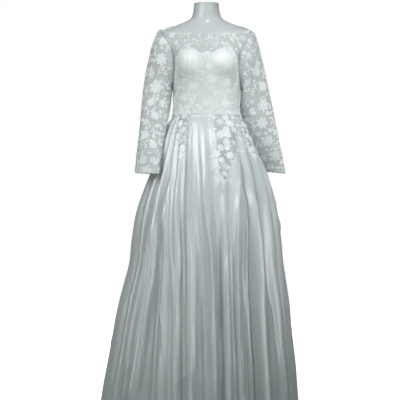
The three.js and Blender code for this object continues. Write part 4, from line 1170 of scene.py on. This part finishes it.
for side, word in ((-1, "left"), (1, "right")):
    surface = sleeve_surface(side)
    length = SLEEVE_RINGS[side]["place"][-1]
    seen = seen_map(lambda a, b: sleeve_point(side, a, b), (0.0, 1.0), (5, length - 3), 300)
    laid = []
    for motif, px, py, size, turn in SLEEVE_LACE[side]:
        share, place = where_seen(seen, px, py)
        laid.append((motif, share, place, size, turn, 0.2))
    laid += [(motif, share, place, size, turn, 0.2) for motif, share, place, size, turn in FAR_SIDE]
    free = lambda a, b: (b > 12) & (b < length - 14)
    choices = [("leaf", 0.9), ("twig", 0.8), ("blossom", 0.8), ("twig", 1.0), ("leaf", 1.1)]
    laid += fill_between(surface, ((0, 1), (12, length - 14)), free, laid, choices, 17, 2600, 11 + side)
    sleeve_lace = lace("lace_sleeve_" + word, surface, laid, (0.004, 2))
    edge = [("shell", (k + 0.5) / (2 * SCALLOPS), length - 9.5, 1.15, -90, 0.25) for k in range(2 * SCALLOPS)]
    edge += [("blossom", (k + 0.5) / SCALLOPS, length - 17, 0.62, 0, 0.3) for k in range(SCALLOPS)]
    cuff_lace = lace("lace_cuff_" + word, surface, edge, (0.004, 2))
    sleeve_pieces[side] = [sleeve_lace, cuff_lace]

# %% [markdown]
# On the bodice the lace covers the satin from edge to edge: flowers down the middle, branches that
# follow the waist and the cups, and small leaves between. The cups stay nearly bare in the middle, so
# the satin shines there.

# %% Lace of the bodice
bodice_seen = seen_map(bodice_surface, (-179, -1), (WAIST, 1392))
BODICE_LACE = [
    ("branch", 181, 59, 0.85, 80), ("branch", 186, 47, 0.8, 25), ("curl", 205, 47, 0.75, 170),
    ("blossom", 207, 53, 0.9, 0), ("branch", 234, 58, 0.85, 100), ("branch", 228, 45, 0.8, 155),
    ("curl", 210, 47, 0.75, 20), ("rose", 209, 66, 0.62, 0), ("rose", 212, 78, 0.75, 30),
    ("blossom", 203, 73, 1.0, 0), ("blossom", 219, 71, 1.0, 0), ("branch", 204, 62, 0.7, -130),
    ("branch", 214, 61, 0.7, -50), ("curl", 200, 84, 0.8, 200), ("curl", 222, 84, 0.8, -20),
    ("rose", 193, 86, 0.8, 10), ("rose", 228, 82, 0.75, 40), ("branch", 187, 78, 0.9, 120),
    ("branch", 234, 92, 0.9, 60), ("branch", 197, 96, 0.9, -150), ("branch", 222, 99, 0.9, -30),
    ("rose", 184, 98, 0.7, 0), ("rose", 226, 104, 0.7, 0), ("rose", 206, 102, 0.7, 20),
    ("blossom", 215, 92, 1.1, 0), ("blossom", 200, 108, 1.1, 0), ("curl", 188, 107, 0.9, 10),
    ("curl", 216, 109, 0.9, 170), ("blossom", 179, 88, 1.0, 0), ("blossom", 236, 101, 1.0, 0),
    ("branch", 180, 70, 0.8, 90), ("branch", 236, 72, 0.8, 95), ("twig", 191, 62, 0.7, 30),
    ("twig", 224, 62, 0.7, 150),
]
BACK_LACE = [  # motif, bearing, height, size, turn
    ("rose", 70, 1290, 0.9, 0), ("rose", 110, 1286, 0.9, 30), ("rose", 62, 1225, 0.95, 10),
    ("rose", 118, 1222, 0.95, 0), ("rose", 72, 1168, 0.85, 40), ("rose", 108, 1166, 0.85, 0),
    ("branch", 84, 1250, 0.9, 100), ("branch", 96, 1200, 0.9, 80), ("branch", 40, 1262, 0.9, 60),
    ("branch", 140, 1258, 0.9, 120), ("rose", 36, 1200, 0.9, 0), ("rose", 144, 1196, 0.9, 0),
    ("curl", 48, 1160, 0.9, 10), ("curl", 130, 1158, 0.9, 170), ("rose", 10, 1215, 0.85, 0),
    ("rose", 170, 1212, 0.85, 0), ("branch", 14, 1150, 0.8, 20), ("branch", 166, 1150, 0.8, 160),
    ("branch", -8, 1180, 0.8, 80), ("branch", 188, 1180, 0.8, 80),
]


def on_satin(bearing, z):
    """Whether a place is on the satin, clear of its edges. It is False for all of the back left."""
    wrapped = front_bearing(bearing)
    front = wrapped < 0
    across = np.abs(np.where(front, wrapped + 90, wrapped - 90)) / (90 - armhole_edge(z, front))
    here = np.clip(across, 0, 1)
    top = np.where(front, read(EDGES, "sweetheart", here), read(EDGES, "satinBack", here))
    return (z > WAIST + 5) & (z < top - 7) & (across < 0.96)


def off_closure(bearing):
    """Clear of the buttons down the middle of the back."""
    return np.abs((bearing % 360) - 90) > 6


def in_cups(bearing, z):
    points = torso_point(bearing, z)
    side = (np.abs(points[:, 0]) - CUP["x"] + 6) / 34
    return (points[:, 1] < 0) & (side**2 + ((z - 1330) / 36) ** 2 < 1)


laid = [(m, *where_seen(bodice_seen, px, py), size, turn, 0.2) for m, px, py, size, turn in BODICE_LACE]
laid += [(m, bearing, z, size, turn, 0.2) for m, bearing, z, size, turn in BACK_LACE]
inside = lambda a, b: on_satin(a, b) & off_closure(a) & ~in_cups(a, b)
choices = [("leaf", 0.8), ("twig", 0.7), ("blossom", 0.7), ("leaf", 1.0), ("twig", 0.9)]
laid += fill_between(bodice_surface, ((-180, 180), (WAIST + 5, 1385)), inside, laid, choices, 14, 5000, 5)
bodice_lace = lace("lace_bodice", bodice_surface, laid, (1, 2))

# %% [markdown]
# On the yoke the larger motifs keep to the neckline, the shoulders and the armholes. Between them are
# only small leaves and twigs, so the form shows through the net.

# %% Lace of the yoke
YOKE_FRONT_LACE = [
    ("branch", 180, 37, 0.62, 10), ("blossom", 188, 36, 0.8, 0), ("twig", 192, 38, 0.9, -30),
    ("blossom", 199, 36, 0.8, 0), ("twig", 204, 39, 0.9, 20), ("blossom", 210, 36, 0.85, 0),
    ("branch", 214, 38, 0.62, 10), ("blossom", 224, 36, 0.8, 0), ("twig", 229, 38, 0.9, -20),
    ("blossom", 234, 36, 0.8, 0), ("branch", 238, 40, 0.6, 130), ("rose", 172, 35, 0.6, 0),
    ("branch", 167, 30, 0.6, 30), ("blossom", 176, 43, 1.0, 0), ("branch", 178, 50, 0.6, 100),
    ("rose", 243, 38, 0.5, 0), ("branch", 240, 50, 0.6, 80), ("blossom", 240, 45, 0.8, 0),
    ("twig", 183, 42, 0.8, 60), ("twig", 233, 42, 0.8, 120),
]
YOKE_BACK_LACE = [
    ("rose", 68, 1440, 0.75, 0), ("rose", 112, 1440, 0.75, 0), ("branch", 78, 1455, 0.7, 170),
    ("branch", 102, 1455, 0.7, 10), ("branch", 48, 1420, 0.8, -70), ("branch", 132, 1420, 0.8, -110),
    ("rose", 56, 1375, 0.8, 0), ("rose", 124, 1375, 0.8, 0), ("branch", 70, 1350, 0.8, 0),
    ("branch", 110, 1350, 0.8, 180), ("blossom", 80, 1400, 1.1, 0), ("blossom", 100, 1400, 1.1, 0),
    ("branch", 76, 1385, 0.7, 60), ("branch", 104, 1385, 0.7, 120), ("blossom", 40, 1450, 1.0, 0),
    ("blossom", 140, 1450, 1.0, 0),
]
yoke_seen = seen_map(yoke_surface, (-179, -1), (1340, 1480))


def on_yoke(bearing, z):
    """Whether a place is on the yoke, clear of its edges. It is False for all of the back left."""
    wrapped = front_bearing(bearing)
    front = wrapped < 0
    across = np.abs(np.where(front, wrapped + 90, wrapped - 90)) / (90 - armhole_edge(z, front))
    here = np.clip(across, 0, 1)
    low = np.where(front, read(EDGES, "sweetheart", here), read(EDGES, "satinBack", here))
    high = np.where(front, read(EDGES, "neckFront", here), read(EDGES, "neckBack", here))
    return (z > low + 4) & (z < high - 8) & (across < 0.9)


laid = [(m, *where_seen(yoke_seen, px, py), size, turn, 0.15) for m, px, py, size, turn in YOKE_FRONT_LACE]
laid += [(m, bearing, z, size, turn, 0.15) for m, bearing, z, size, turn in YOKE_BACK_LACE]
inside = lambda a, b: on_yoke(a, b) & off_closure(a)
choices = [("leaf", 0.6), ("twig", 0.6)]
laid += fill_between(yoke_surface, ((-180, 180), (1330, 1480)), inside, laid, choices, 21, 2500, 3)
yoke_lace = lace("lace_yoke", yoke_surface, laid, (1, 2))

# %% [markdown]
# ## Sprays on the skirt
# From the waist, seven sprays of the same lace run down over the pleats. Each narrows to a tip, with
# flowers along its middle and leaves and branches that point outwards and down along its edges.

# %% Seven sprays
SPRAYS = [
    ("spray_front_left", 2.3, 4.5, 4.1, 958), ("spray_front_centre", 6.8, 9.2, 6.9, 842),
    ("spray_front_right", 9.7, 11.3, 9.8, 952), ("spray_hip_right", 12.1, 13.6, 12.8, 985),
    ("spray_back_right", 14.4, 16.2, 15.1, 935), ("spray_back_left", 18.2, 20.1, 19.2, 945),
    ("spray_hip_left", 21.0, 22.5, 21.7, 985),
]


SPRAY_ROW, SPRAY_MOTIF = 25, 31  # mm from one row of motifs to the next, and between motifs
SPRAY_TAPER = 1.2  # 1 would give a spray straight edges
SPRAY_SIZES = {"rose": 0.62, "blossom": 1.15, "branch": 0.62, "twig": 1.0}


def bearing_of(fold, z):
    bearings = ridge_bearings(np.array([float(z)]))[0]
    turns = int(fold // len(RIDGES))
    return float(np.interp(fold - turns * len(RIDGES), np.arange(len(bearings)), bearings)) + 360 * turns


def spray_edge(edge, tip, fall, z):
    """Bearing of one edge of a spray at a height, on its way from the waist to the tip."""
    return bearing_of(edge + (tip - edge) * ((WAIST - z) / (WAIST - fall)) ** SPRAY_TAPER, z)


def grow_spray(start, end, tip, fall, seed):
    """Rows of motifs from the waist to the tip of a spray."""
    rng = np.random.default_rng(seed)
    laid = []
    z = WAIST - 11
    row = 0
    while z > fall + 14:
        low, high = (spray_edge(edge, tip, fall, z) for edge in (start, end))
        radius = np.linalg.norm(plain_skirt(np.array([tip]), np.array([z]))[0, :2])
        width = math.radians(high - low) * radius + 16
        count = max(1, round(width / SPRAY_MOTIF))
        for k in range(count):
            share = (k + 0.5 + 0.3 * (row % 2 - 0.5)) / count
            bearing = low + (high - low) * share + rng.uniform(-1, 1)
            edge_turn = -90 + 75 * (share - 0.5) * 2 + rng.uniform(-20, 20)
            inner = 0.2 < share < 0.8 or count < 2
            motif = ("rose" if (row + k) % 2 else "blossom") if inner else ("branch" if row % 2 else "twig")
            size = SPRAY_SIZES[motif] * rng.uniform(0.9, 1.15)
            laid.append((motif, bearing, z + rng.uniform(-4, 4), size, edge_turn, 0.45))
        z -= SPRAY_ROW
        row += 1
    end_bearing = bearing_of(tip, fall)
    laid.append(("branch", end_bearing, fall + 46, 0.8, -90, 0.45))
    laid.append(("blossom", end_bearing, fall + 44, 1.1, 0, 0.5))
    return laid


def net_under(name, start, end, tip, fall):
    """The net that carries a spray, between its two edges and from its tip to the waist."""
    rows = np.linspace(fall + 30, WAIST - 5, 60)
    left, right = (np.array([spray_edge(edge, tip, fall, z) for z in rows]) for edge in (start, end))

    def place(across, up):
        z = rows[0] + (rows[-1] - rows[0]) * up
        low, high = np.interp(z, rows, left), np.interp(z, rows, right)
        return skirt_surface(low + (high - low) * across, z, 0.35)

    mesh = sheet_mesh("net_" + name, 44, 60, place, (120, WAIST - fall))
    face_out(mesh)
    return finished_piece("net_" + name, mesh, [spray_net])


for seed, (name, start, end, tip, fall) in enumerate(SPRAYS):
    laid = grow_spray(start, end, tip, fall, 20 + seed)
    if name == "spray_front_centre":
        for px, py, size in ((216, 154, 0.8), (231, 124, 0.7), (222, 133, 0.65), (217, 174, 0.5)):
            fold, z = where_seen(skirt_seen, px, py)
            laid.append(("rose", bearing_of(fold, z), z, size, 0, 0.5))
    low = min(row[1] for row in laid) - 2
    high = max(row[1] for row in laid) + 2
    within = lambda a, b: np.array([
        spray_edge(start, tip, fall, z) - 3 < turn < spray_edge(end, tip, fall, z) + 3
        for turn, z in zip(a, b)
    ])
    laid += fill_between(skirt_surface, ((low, high), (fall + 20, WAIST - 6)), within, laid,
                         [("leaf", 0.6), ("twig", 0.6)], 15, 260, 60 + seed)
    lace("lace_" + name, skirt_surface, laid, (0.5, 2), nodes=[name])
    net_under(name, start, end, tip, fall)

# %% [markdown]
# ## Seams, edges and beads
# Small round trims finish the edges: a cord on the waist seam, a narrow binding round the neck, and a
# covered seam round each armhole. Each is a tube round a line that lies on the cloth.

# %% Tubes along a line on the cloth
def trim(name, line, out, radius, finishes, closed, slot, flatten=1.0):
    """A round trim along a line of points, with the direction away from the cloth at each. In mm."""
    count = len(line)

    def place(across, up):
        at = across * (count if closed else count - 1)
        k = np.floor(at + 1e-6).astype(int)
        here, away = line[k % count], out[k % count]
        if closed:
            heading = line[(k + 1) % count] - line[(k - 1) % count]
        else:
            heading = np.gradient(line, axis=0)[np.minimum(k, count - 1)]
        heading = heading / np.linalg.norm(heading, axis=-1, keepdims=True)
        aside = np.cross(heading, away)
        turn = 2 * np.pi * up
        return here + radius * (away * flatten * np.sin(turn)[:, None] + aside * np.cos(turn)[:, None])

    mesh = sheet_mesh(name, count if closed else count - 1, 8, place, (1000, 10))
    shell = bmesh.new()
    shell.from_mesh(mesh)
    bmesh.ops.holes_fill(shell, edges=[e for e in shell.edges if e.is_boundary], sides=8)
    bmesh.ops.recalc_face_normals(shell, faces=shell.faces)
    shell.to_mesh(mesh)
    shell.free()
    return finished_piece(name, mesh, finishes)


def line_on(surface, a, b, lift):
    """A line on a surface and the direction away from it."""
    here = surface(a, b, lift)
    away = surface(a, b, lift + 1) - here
    return here, away / np.linalg.norm(away, axis=-1, keepdims=True)


def neck_line(lift):
    across = np.linspace(-1, 1, 121)[:-1]
    z_front, z_back = read(EDGES, "neckFront", np.abs(across)), read(EDGES, "neckBack", np.abs(across))
    bearings = np.concatenate([bodice_bearing(across, z_front, True), bodice_bearing(-across, z_back, False)])
    return line_on(yoke_surface, bearings, np.concatenate([z_front, z_back]), lift)


neck = neck_line(0.3)
neck_binding = trim("neck_binding", *neck, 1.0, [stitched_ground], True, "lace", 0.7)
waist_turn = np.linspace(-180, 180, 241)[:-1]
waist_line = line_on(bodice_surface, waist_turn, np.full(240, WAIST + 2.0), 0.8)
waist_cord = trim("waist_cord", *waist_line, 1.3, [rayon_cord], True, "satin", 0.8)
for side, word in ((-1, "left"), (1, "right")):
    line, beyond = (round_ring(armhole_line(side, lift), 160) for lift in (4.0, 5.4))
    away = (beyond - line) / np.linalg.norm(beyond - line, axis=-1, keepdims=True)
    trim("armhole_seam_" + word, line, away, 1.0, [sleeve_net], True, "lace", 0.8)

# %% Edging of the neckline
across = np.linspace(-1, 1, 47)[:-1] + 1 / 47
edging = []
for front, column in ((True, "neckFront"), (False, "neckBack")):
    z = read(EDGES, column, np.abs(across)) - 2.5
    for turn, height in zip(bodice_bearing(across, z, front), z):
        edging.append(("shell", turn, height, 0.9, -90, 0.2))
neck_lace = lace("lace_neckline", yoke_surface, edging, (1, 2))

# %% [markdown]
# The bodice closes down the middle of the back with twelve small covered buttons and loops of cord. A
# covered button is a shallow dome of satin over a metal shell, gathered under its rim, so it is spun
# from half its profile.

# %% Buttons and loops
BUTTON_COUNT, TOP_BUTTON, LOW_BUTTON = 12, 1460, 1147
BUTTON_PROFILE = [  # distance from its middle, and height
    (0, 0), (3.9, 0), (5.0, 0.5), (5.45, 1.3), (5.3, 2.1), (4.6, 3.0), (3.3, 3.6), (1.7, 3.92), (0, 4.0),
]
loop_lines = []
for k in range(BUTTON_COUNT):
    z = TOP_BUTTON - (TOP_BUTTON - LOW_BUTTON) * k / (BUTTON_COUNT - 1)
    on_net = z > EDGES["satinBack"][0]
    lift = BODY_GAP + (YOKE_WALL if on_net else SATIN_WALL) + 0.6
    seat, further = off_torso([90.0], [z], [lift])[0], off_torso([90.0], [z], [lift + 1])[0]
    bm = bmesh.new()
    half = [bm.verts.new((x, 0, y)) for x, y in BUTTON_PROFILE]
    rim = [bm.edges.new(pair) for pair in zip(half, half[1:])]
    bmesh.ops.spin(bm, geom=half + rim, axis=(0, 0, 1), cent=(0, 0, 0), dvec=(0, 0, 0),
                   angle=2 * math.pi, steps=20, use_merge=True)
    bmesh.ops.remove_doubles(bm, verts=bm.verts, dist=1e-4)
    bmesh.ops.recalc_face_normals(bm, faces=bm.faces)
    turn = Vector(further - seat).to_track_quat("Z", "Y").to_matrix().to_4x4()
    bmesh.ops.transform(bm, verts=bm.verts, matrix=Matrix.Scale(MM, 4) @ Matrix.Translation(seat) @ turn)
    mesh = bpy.data.meshes.new(f"covered_button_{k + 1}")
    bm.to_mesh(mesh)
    bm.free()
    finished_piece(f"covered_button_{k + 1}", mesh, [netted_satin], [f"button_{k + 1}"])
    t = np.linspace(0, math.pi, 14)
    flat = np.stack([-7.5 + 9.5 * np.sin(t), 0 * t, 3.4 * np.cos(t)], axis=-1)
    loop_lines.append((seat + flat + np.array([0, 0.9, 0]), np.tile(further - seat, (14, 1))))
for k, (line, away) in enumerate(loop_lines):
    trim(f"button_loop_{k + 1}", line, away, 0.7, [rayon_cord], False, "button_satin")

# %% [markdown]
# Pearls are sewn near the flowers of the bodice and yoke, in a row along the waist, and scattered over
# the sleeves. A bead is seen as a point of light, so each is only 20 faces, and all of one region are
# one piece.

# %% Beads
def beads(name, surface, places, radius, lift):
    points = surface(np.array([p[0] for p in places]), np.array([p[1] for p in places]), lift)
    bm = bmesh.new()
    for point in points:
        place = Matrix.Translation(point * MM)
        bmesh.ops.create_icosphere(bm, subdivisions=1, radius=radius * MM, matrix=place)
    mesh = bpy.data.meshes.new(name)
    bm.to_mesh(mesh)
    bm.free()
    return finished_piece(name, mesh, [pearl])


SLEEVE_BEADS = 420
rng = np.random.default_rng(8)
bodice_spots = [where_seen(bodice_seen, px + dx, py + dy) for _, px, py, _, _ in BODICE_LACE
                for dx, dy in rng.uniform(-2.2, 2.2, (5, 2))]
bodice_beads = beads("beads_bodice", bodice_surface, bodice_spots, 1.5, 1.4)
yoke_spots = [where_seen(yoke_seen, px + dx, py + dy) for _, px, py, _, _ in YOKE_FRONT_LACE
              for dx, dy in rng.uniform(-1.6, 1.6, (4, 2))]
yoke_beads = beads("beads_yoke", yoke_surface, yoke_spots, 1.4, 1.4)
for side, word in ((-1, "left"), (1, "right")):
    length = SLEEVE_RINGS[side]["place"][-1]
    shares = rng.uniform(0, 1, SLEEVE_BEADS)
    spots = list(zip(shares, rng.uniform(14, length - 12, SLEEVE_BEADS)))
    sleeve_pieces[side].append(beads("beads_sleeve_" + word, sleeve_surface(side), spots, 1.6, 1.2))
WAIST_MOTIFS = 44
waist_flowers = []
for k in range(WAIST_MOTIFS):
    turn = -180 + 360 * (k + 0.5) / WAIST_MOTIFS
    motif, size, tilt = ("blossom", 0.7, 0) if k % 2 else ("twig", 0.8, 10)
    if abs(turn - 90) > 5:
        waist_flowers.append((motif, turn, WAIST + 8, size, tilt, 0.5))
waist_lace = lace("lace_waist", bodice_surface, waist_flowers, (1, 2))
waist_spots = [(turn, WAIST + 6.5) for turn in np.arange(-176, -4, 3.2)]
waist_beads = beads("beads_waist", bodice_surface, waist_spots, 1.5, 1.4)

# %% [markdown]
# ## The form and its stand
# The form is one closed glass-fibre shell. Its grid shrinks to a point under the torso and at the neck,
# with a rounded edge at both ends. The neck is cut on a slight slope, lower at the front, and a cap of
# its own covers the cut.

# %% The form
NECK_BASE, NECK_SLOPE = 1510, 0.14
CAP_HEIGHT, CAP_RIM = 5, 3
NECK_CUT = NECK_TOP - CAP_HEIGHT - 0.3


def form_place(across, up):
    """Under the torso from the middle out, up the outside, and over the cut neck to its middle."""
    under, over, edge = 0.06, 0.96, 7.0
    z = FORM_BOTTOM + (NECK_CUT - FORM_BOTTOM) * np.clip((up - under) / (over - under), 0, 1)
    bearing = -90 + 360 * across
    points = torso_point(bearing, z)
    inwards = np.clip(up / under, 0, 1) * np.clip((1 - up) / (1 - over), 0, 1)
    points[:, :2] *= inwards[:, None]
    rounded = edge * (1 - np.sqrt(np.clip(1 - (1 - np.clip((z - FORM_BOTTOM) / edge, 0, 1)) ** 2, 0, 1)))
    radius = np.maximum(np.linalg.norm(points[:, :2], axis=-1), 1e-6)
    points[:, :2] *= (1 - np.where(up >= under, np.minimum(rounded, radius) / radius, 0))[:, None]
    points[:, :2] *= (1 - np.where(up < under, edge / np.maximum(radius, edge), 0))[:, None]
    points[:, 2] += points[:, 1] * NECK_SLOPE * smoothstep(z, NECK_BASE, NECK_CUT)
    return points


form_mesh = sheet_mesh("form_body", 96, 150, form_place, (900, 900))
face_out(form_mesh, upright=False)
finished_piece("form_body", form_mesh, [grey_lacquer], ["form_torso"])


def cap_place(across, up):
    """The cap from the middle of its underside round the rim to the middle of its top."""
    line = np.array([[0, 0], [1, 0], [1, 1 - CAP_RIM / CAP_HEIGHT], [0.985, 0.8], [0.94, 0.96],
                     [0.88, 1], [0, 1]])
    inwards, rise = (np.interp(up, np.linspace(0, 1, 7), line[:, k]) for k in (0, 1))
    edge = torso_point(-90 + 360 * across, np.full(len(up), NECK_CUT))
    return np.stack([edge[:, 0] * inwards, edge[:, 1] * inwards,
                     NECK_CUT + 0.3 + CAP_HEIGHT * rise + edge[:, 1] * inwards * NECK_SLOPE], axis=-1)


cap_mesh = sheet_mesh("neck_cap", 64, 24, cap_place, (300, 60))
face_out(cap_mesh, upright=False)
finished_piece("neck_cap", cap_mesh, [grey_lacquer], ["form_neck_cap"])

# %% [markdown]
# The stand is three turned parts, so each is half a profile spun round the pole's axis.

# %% The stand
def turned_part(name, profile, node, steps=72):
    bm = bmesh.new()
    half = [bm.verts.new((r * MM, 0, z * MM)) for r, z in profile]
    line = [bm.edges.new(pair) for pair in zip(half, half[1:])]
    bmesh.ops.spin(bm, geom=half + line, axis=(0, 0, 1), cent=(0, 0, 0), dvec=(0, 0, 0),
                   angle=2 * math.pi, steps=steps, use_merge=True)
    bmesh.ops.remove_doubles(bm, verts=bm.verts, dist=1e-6)
    bmesh.ops.recalc_face_normals(bm, faces=bm.faces)
    mesh = bpy.data.meshes.new(name)
    bm.to_mesh(mesh)
    bm.free()
    return finished_piece(name, mesh, [brushed_steel], [node])


COLLAR_TOP = FORM_BOTTOM - 0.3
turned_part("steel_base", [
    (0, 0), (168, 0), (169.4, 0.6), (170, 2), (170, 6), (169.4, 7.4), (168, 8), (60, 8), (0, 8),
], "stand_base")
turned_part("steel_pole", [
    (0, 8.3), (12, 8.3), (12.5, 9), (12.5, 400), (12.5, 852.6), (12, 853.3), (0, 853.3),
], "stand_pole", 40)
turned_part("steel_collar", [
    (0, COLLAR_TOP - 16), (19, COLLAR_TOP - 16), (20.5, COLLAR_TOP - 15.4), (36.5, COLLAR_TOP - 6.2),
    (38, COLLAR_TOP - 5), (38, COLLAR_TOP - 0.6), (37.4, COLLAR_TOP), (0, COLLAR_TOP),
], "stand_collar")

# %% [markdown]
# ## What was cut
# Each panel of cloth has a rectangle for its cut, given with its piece above and used as the size of its
# weave. The gores' numbers were measured on their meshes, and the width is that of the hem. The others are
# estimates. Those of the side fronts, the yoke backs and the sleeves fit their meshes in area, but not in
# width and height.

# %% The cut of every panel: two loops that do nothing
for side in (-1, 1):
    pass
for name, first, last, cut in GORES:
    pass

# %% [markdown]
# ## Floor, light and backdrop
# The photograph looks softly lit from the front and above, slightly from the left, in a dim room: the
# bodice is bright and the hem falls into a dark grey-green. Tall narrow lights give the satin its
# upright streaks.

# %% Floor
bm = bmesh.new()
bmesh.ops.create_grid(bm, x_segments=1, y_segments=1, size=12)
floor_mesh = bpy.data.meshes.new("floor")
bm.to_mesh(floor_mesh)
bm.free()
floor = bpy.data.objects.new("floor", floor_mesh)
floor.location.z = -0.001
bpy.context.scene.collection.objects.link(floor)
pale_floor, tree, shader = begin_finish("pale_floor", Roughness=0.9)
shader.inputs["Base Color"].default_value = colour("#a9abaa")
shader.inputs["Emission Color"].default_value = colour("#ffffff")
shader.inputs["Emission Strength"].default_value = 0.94
floor_mesh.materials.append(pale_floor)
floor.visible_glossy = False
floor.visible_diffuse = False

# %% World
bpy.context.scene.view_settings.view_transform = "Standard"
world = bpy.data.worlds.new("studio")
bpy.context.scene.world = world
world.use_nodes = True
tree = world.node_tree
tree.nodes.clear()
place = add(tree, "ShaderNodeTexCoord")
height = add(tree, "ShaderNodeSeparateXYZ", {"Vector": place.outputs["Generated"]})
shade = add(tree, "ShaderNodeValToRGB", {"Fac": add(tree, "ShaderNodeMapRange", {
    "Value": height.outputs["Z"], "From Min": -0.6, "From Max": 0.9}).outputs[0]})
shade.color_ramp.elements[0].color = colour("#171b1b")
shade.color_ramp.elements[1].color = colour("#9aa3a3")
room = add(tree, "ShaderNodeBackground", {"Color": shade.outputs["Color"], "Strength": 0.42})
backdrop = add(tree, "ShaderNodeBackground", {"Color": colour("#ffffff"), "Strength": 1.0})
seen_by = add(tree, "ShaderNodeLightPath")
mixed = add(tree, "ShaderNodeMixShader", {0: seen_by.outputs["Is Camera Ray"], 1: room.outputs[0],
                                          2: backdrop.outputs[0]})
add(tree, "ShaderNodeOutputWorld", {"Surface": mixed.outputs[0]})


# %% Lights
def soft_light(name, place, towards, width, height, watts, tint="#ffffff", spread=180):
    data = bpy.data.lights.new(name, "AREA")
    data.shape = "RECTANGLE"
    data.size, data.size_y = width, height
    data.energy = watts
    data.color = colour(tint)[:3]
    data.spread = math.radians(spread)
    lamp = bpy.data.objects.new(name, data)
    lamp.location = place
    lamp.rotation_euler = (Vector(towards) - Vector(place)).to_track_quat("-Z", "Y").to_euler()
    bpy.context.scene.collection.objects.link(lamp)
    return lamp


soft_light("key", (-1.15, -1.3, 2.1), (0, 0, 0.9), 1.1, 1.0, 10.5, spread=130)
soft_light("right_fill", (1.25, -1.35, 2.0), (0.32, 0, 1.2), 0.8, 0.8, 3.0, spread=50).visible_glossy = False
soft_light("front_top", (0.05, -1.3, 2.3), (0, 0, 1.3), 0.1, 0.18, 1.5, spread=95)
soft_light("front_strip", (0.75, -2.3, 0.75), (0, 0, 0.7), 0.22, 1.5, 6)
soft_light("left_strip", (-1.5, -1.4, 0.8), (0, 0, 0.7), 0.14, 1.3, 8)
soft_light("right_strip", (1.25, -1.4, 0.8), (0.1, 0, 0.5), 0.22, 1.1, 2.4, spread=110)
soft_light("back_top", (0.4, 2.0, 2.4), (0, 0, 1.0), 1.2, 0.8, 55).visible_glossy = False

# %% Update the scene
bpy.context.view_layer.update()
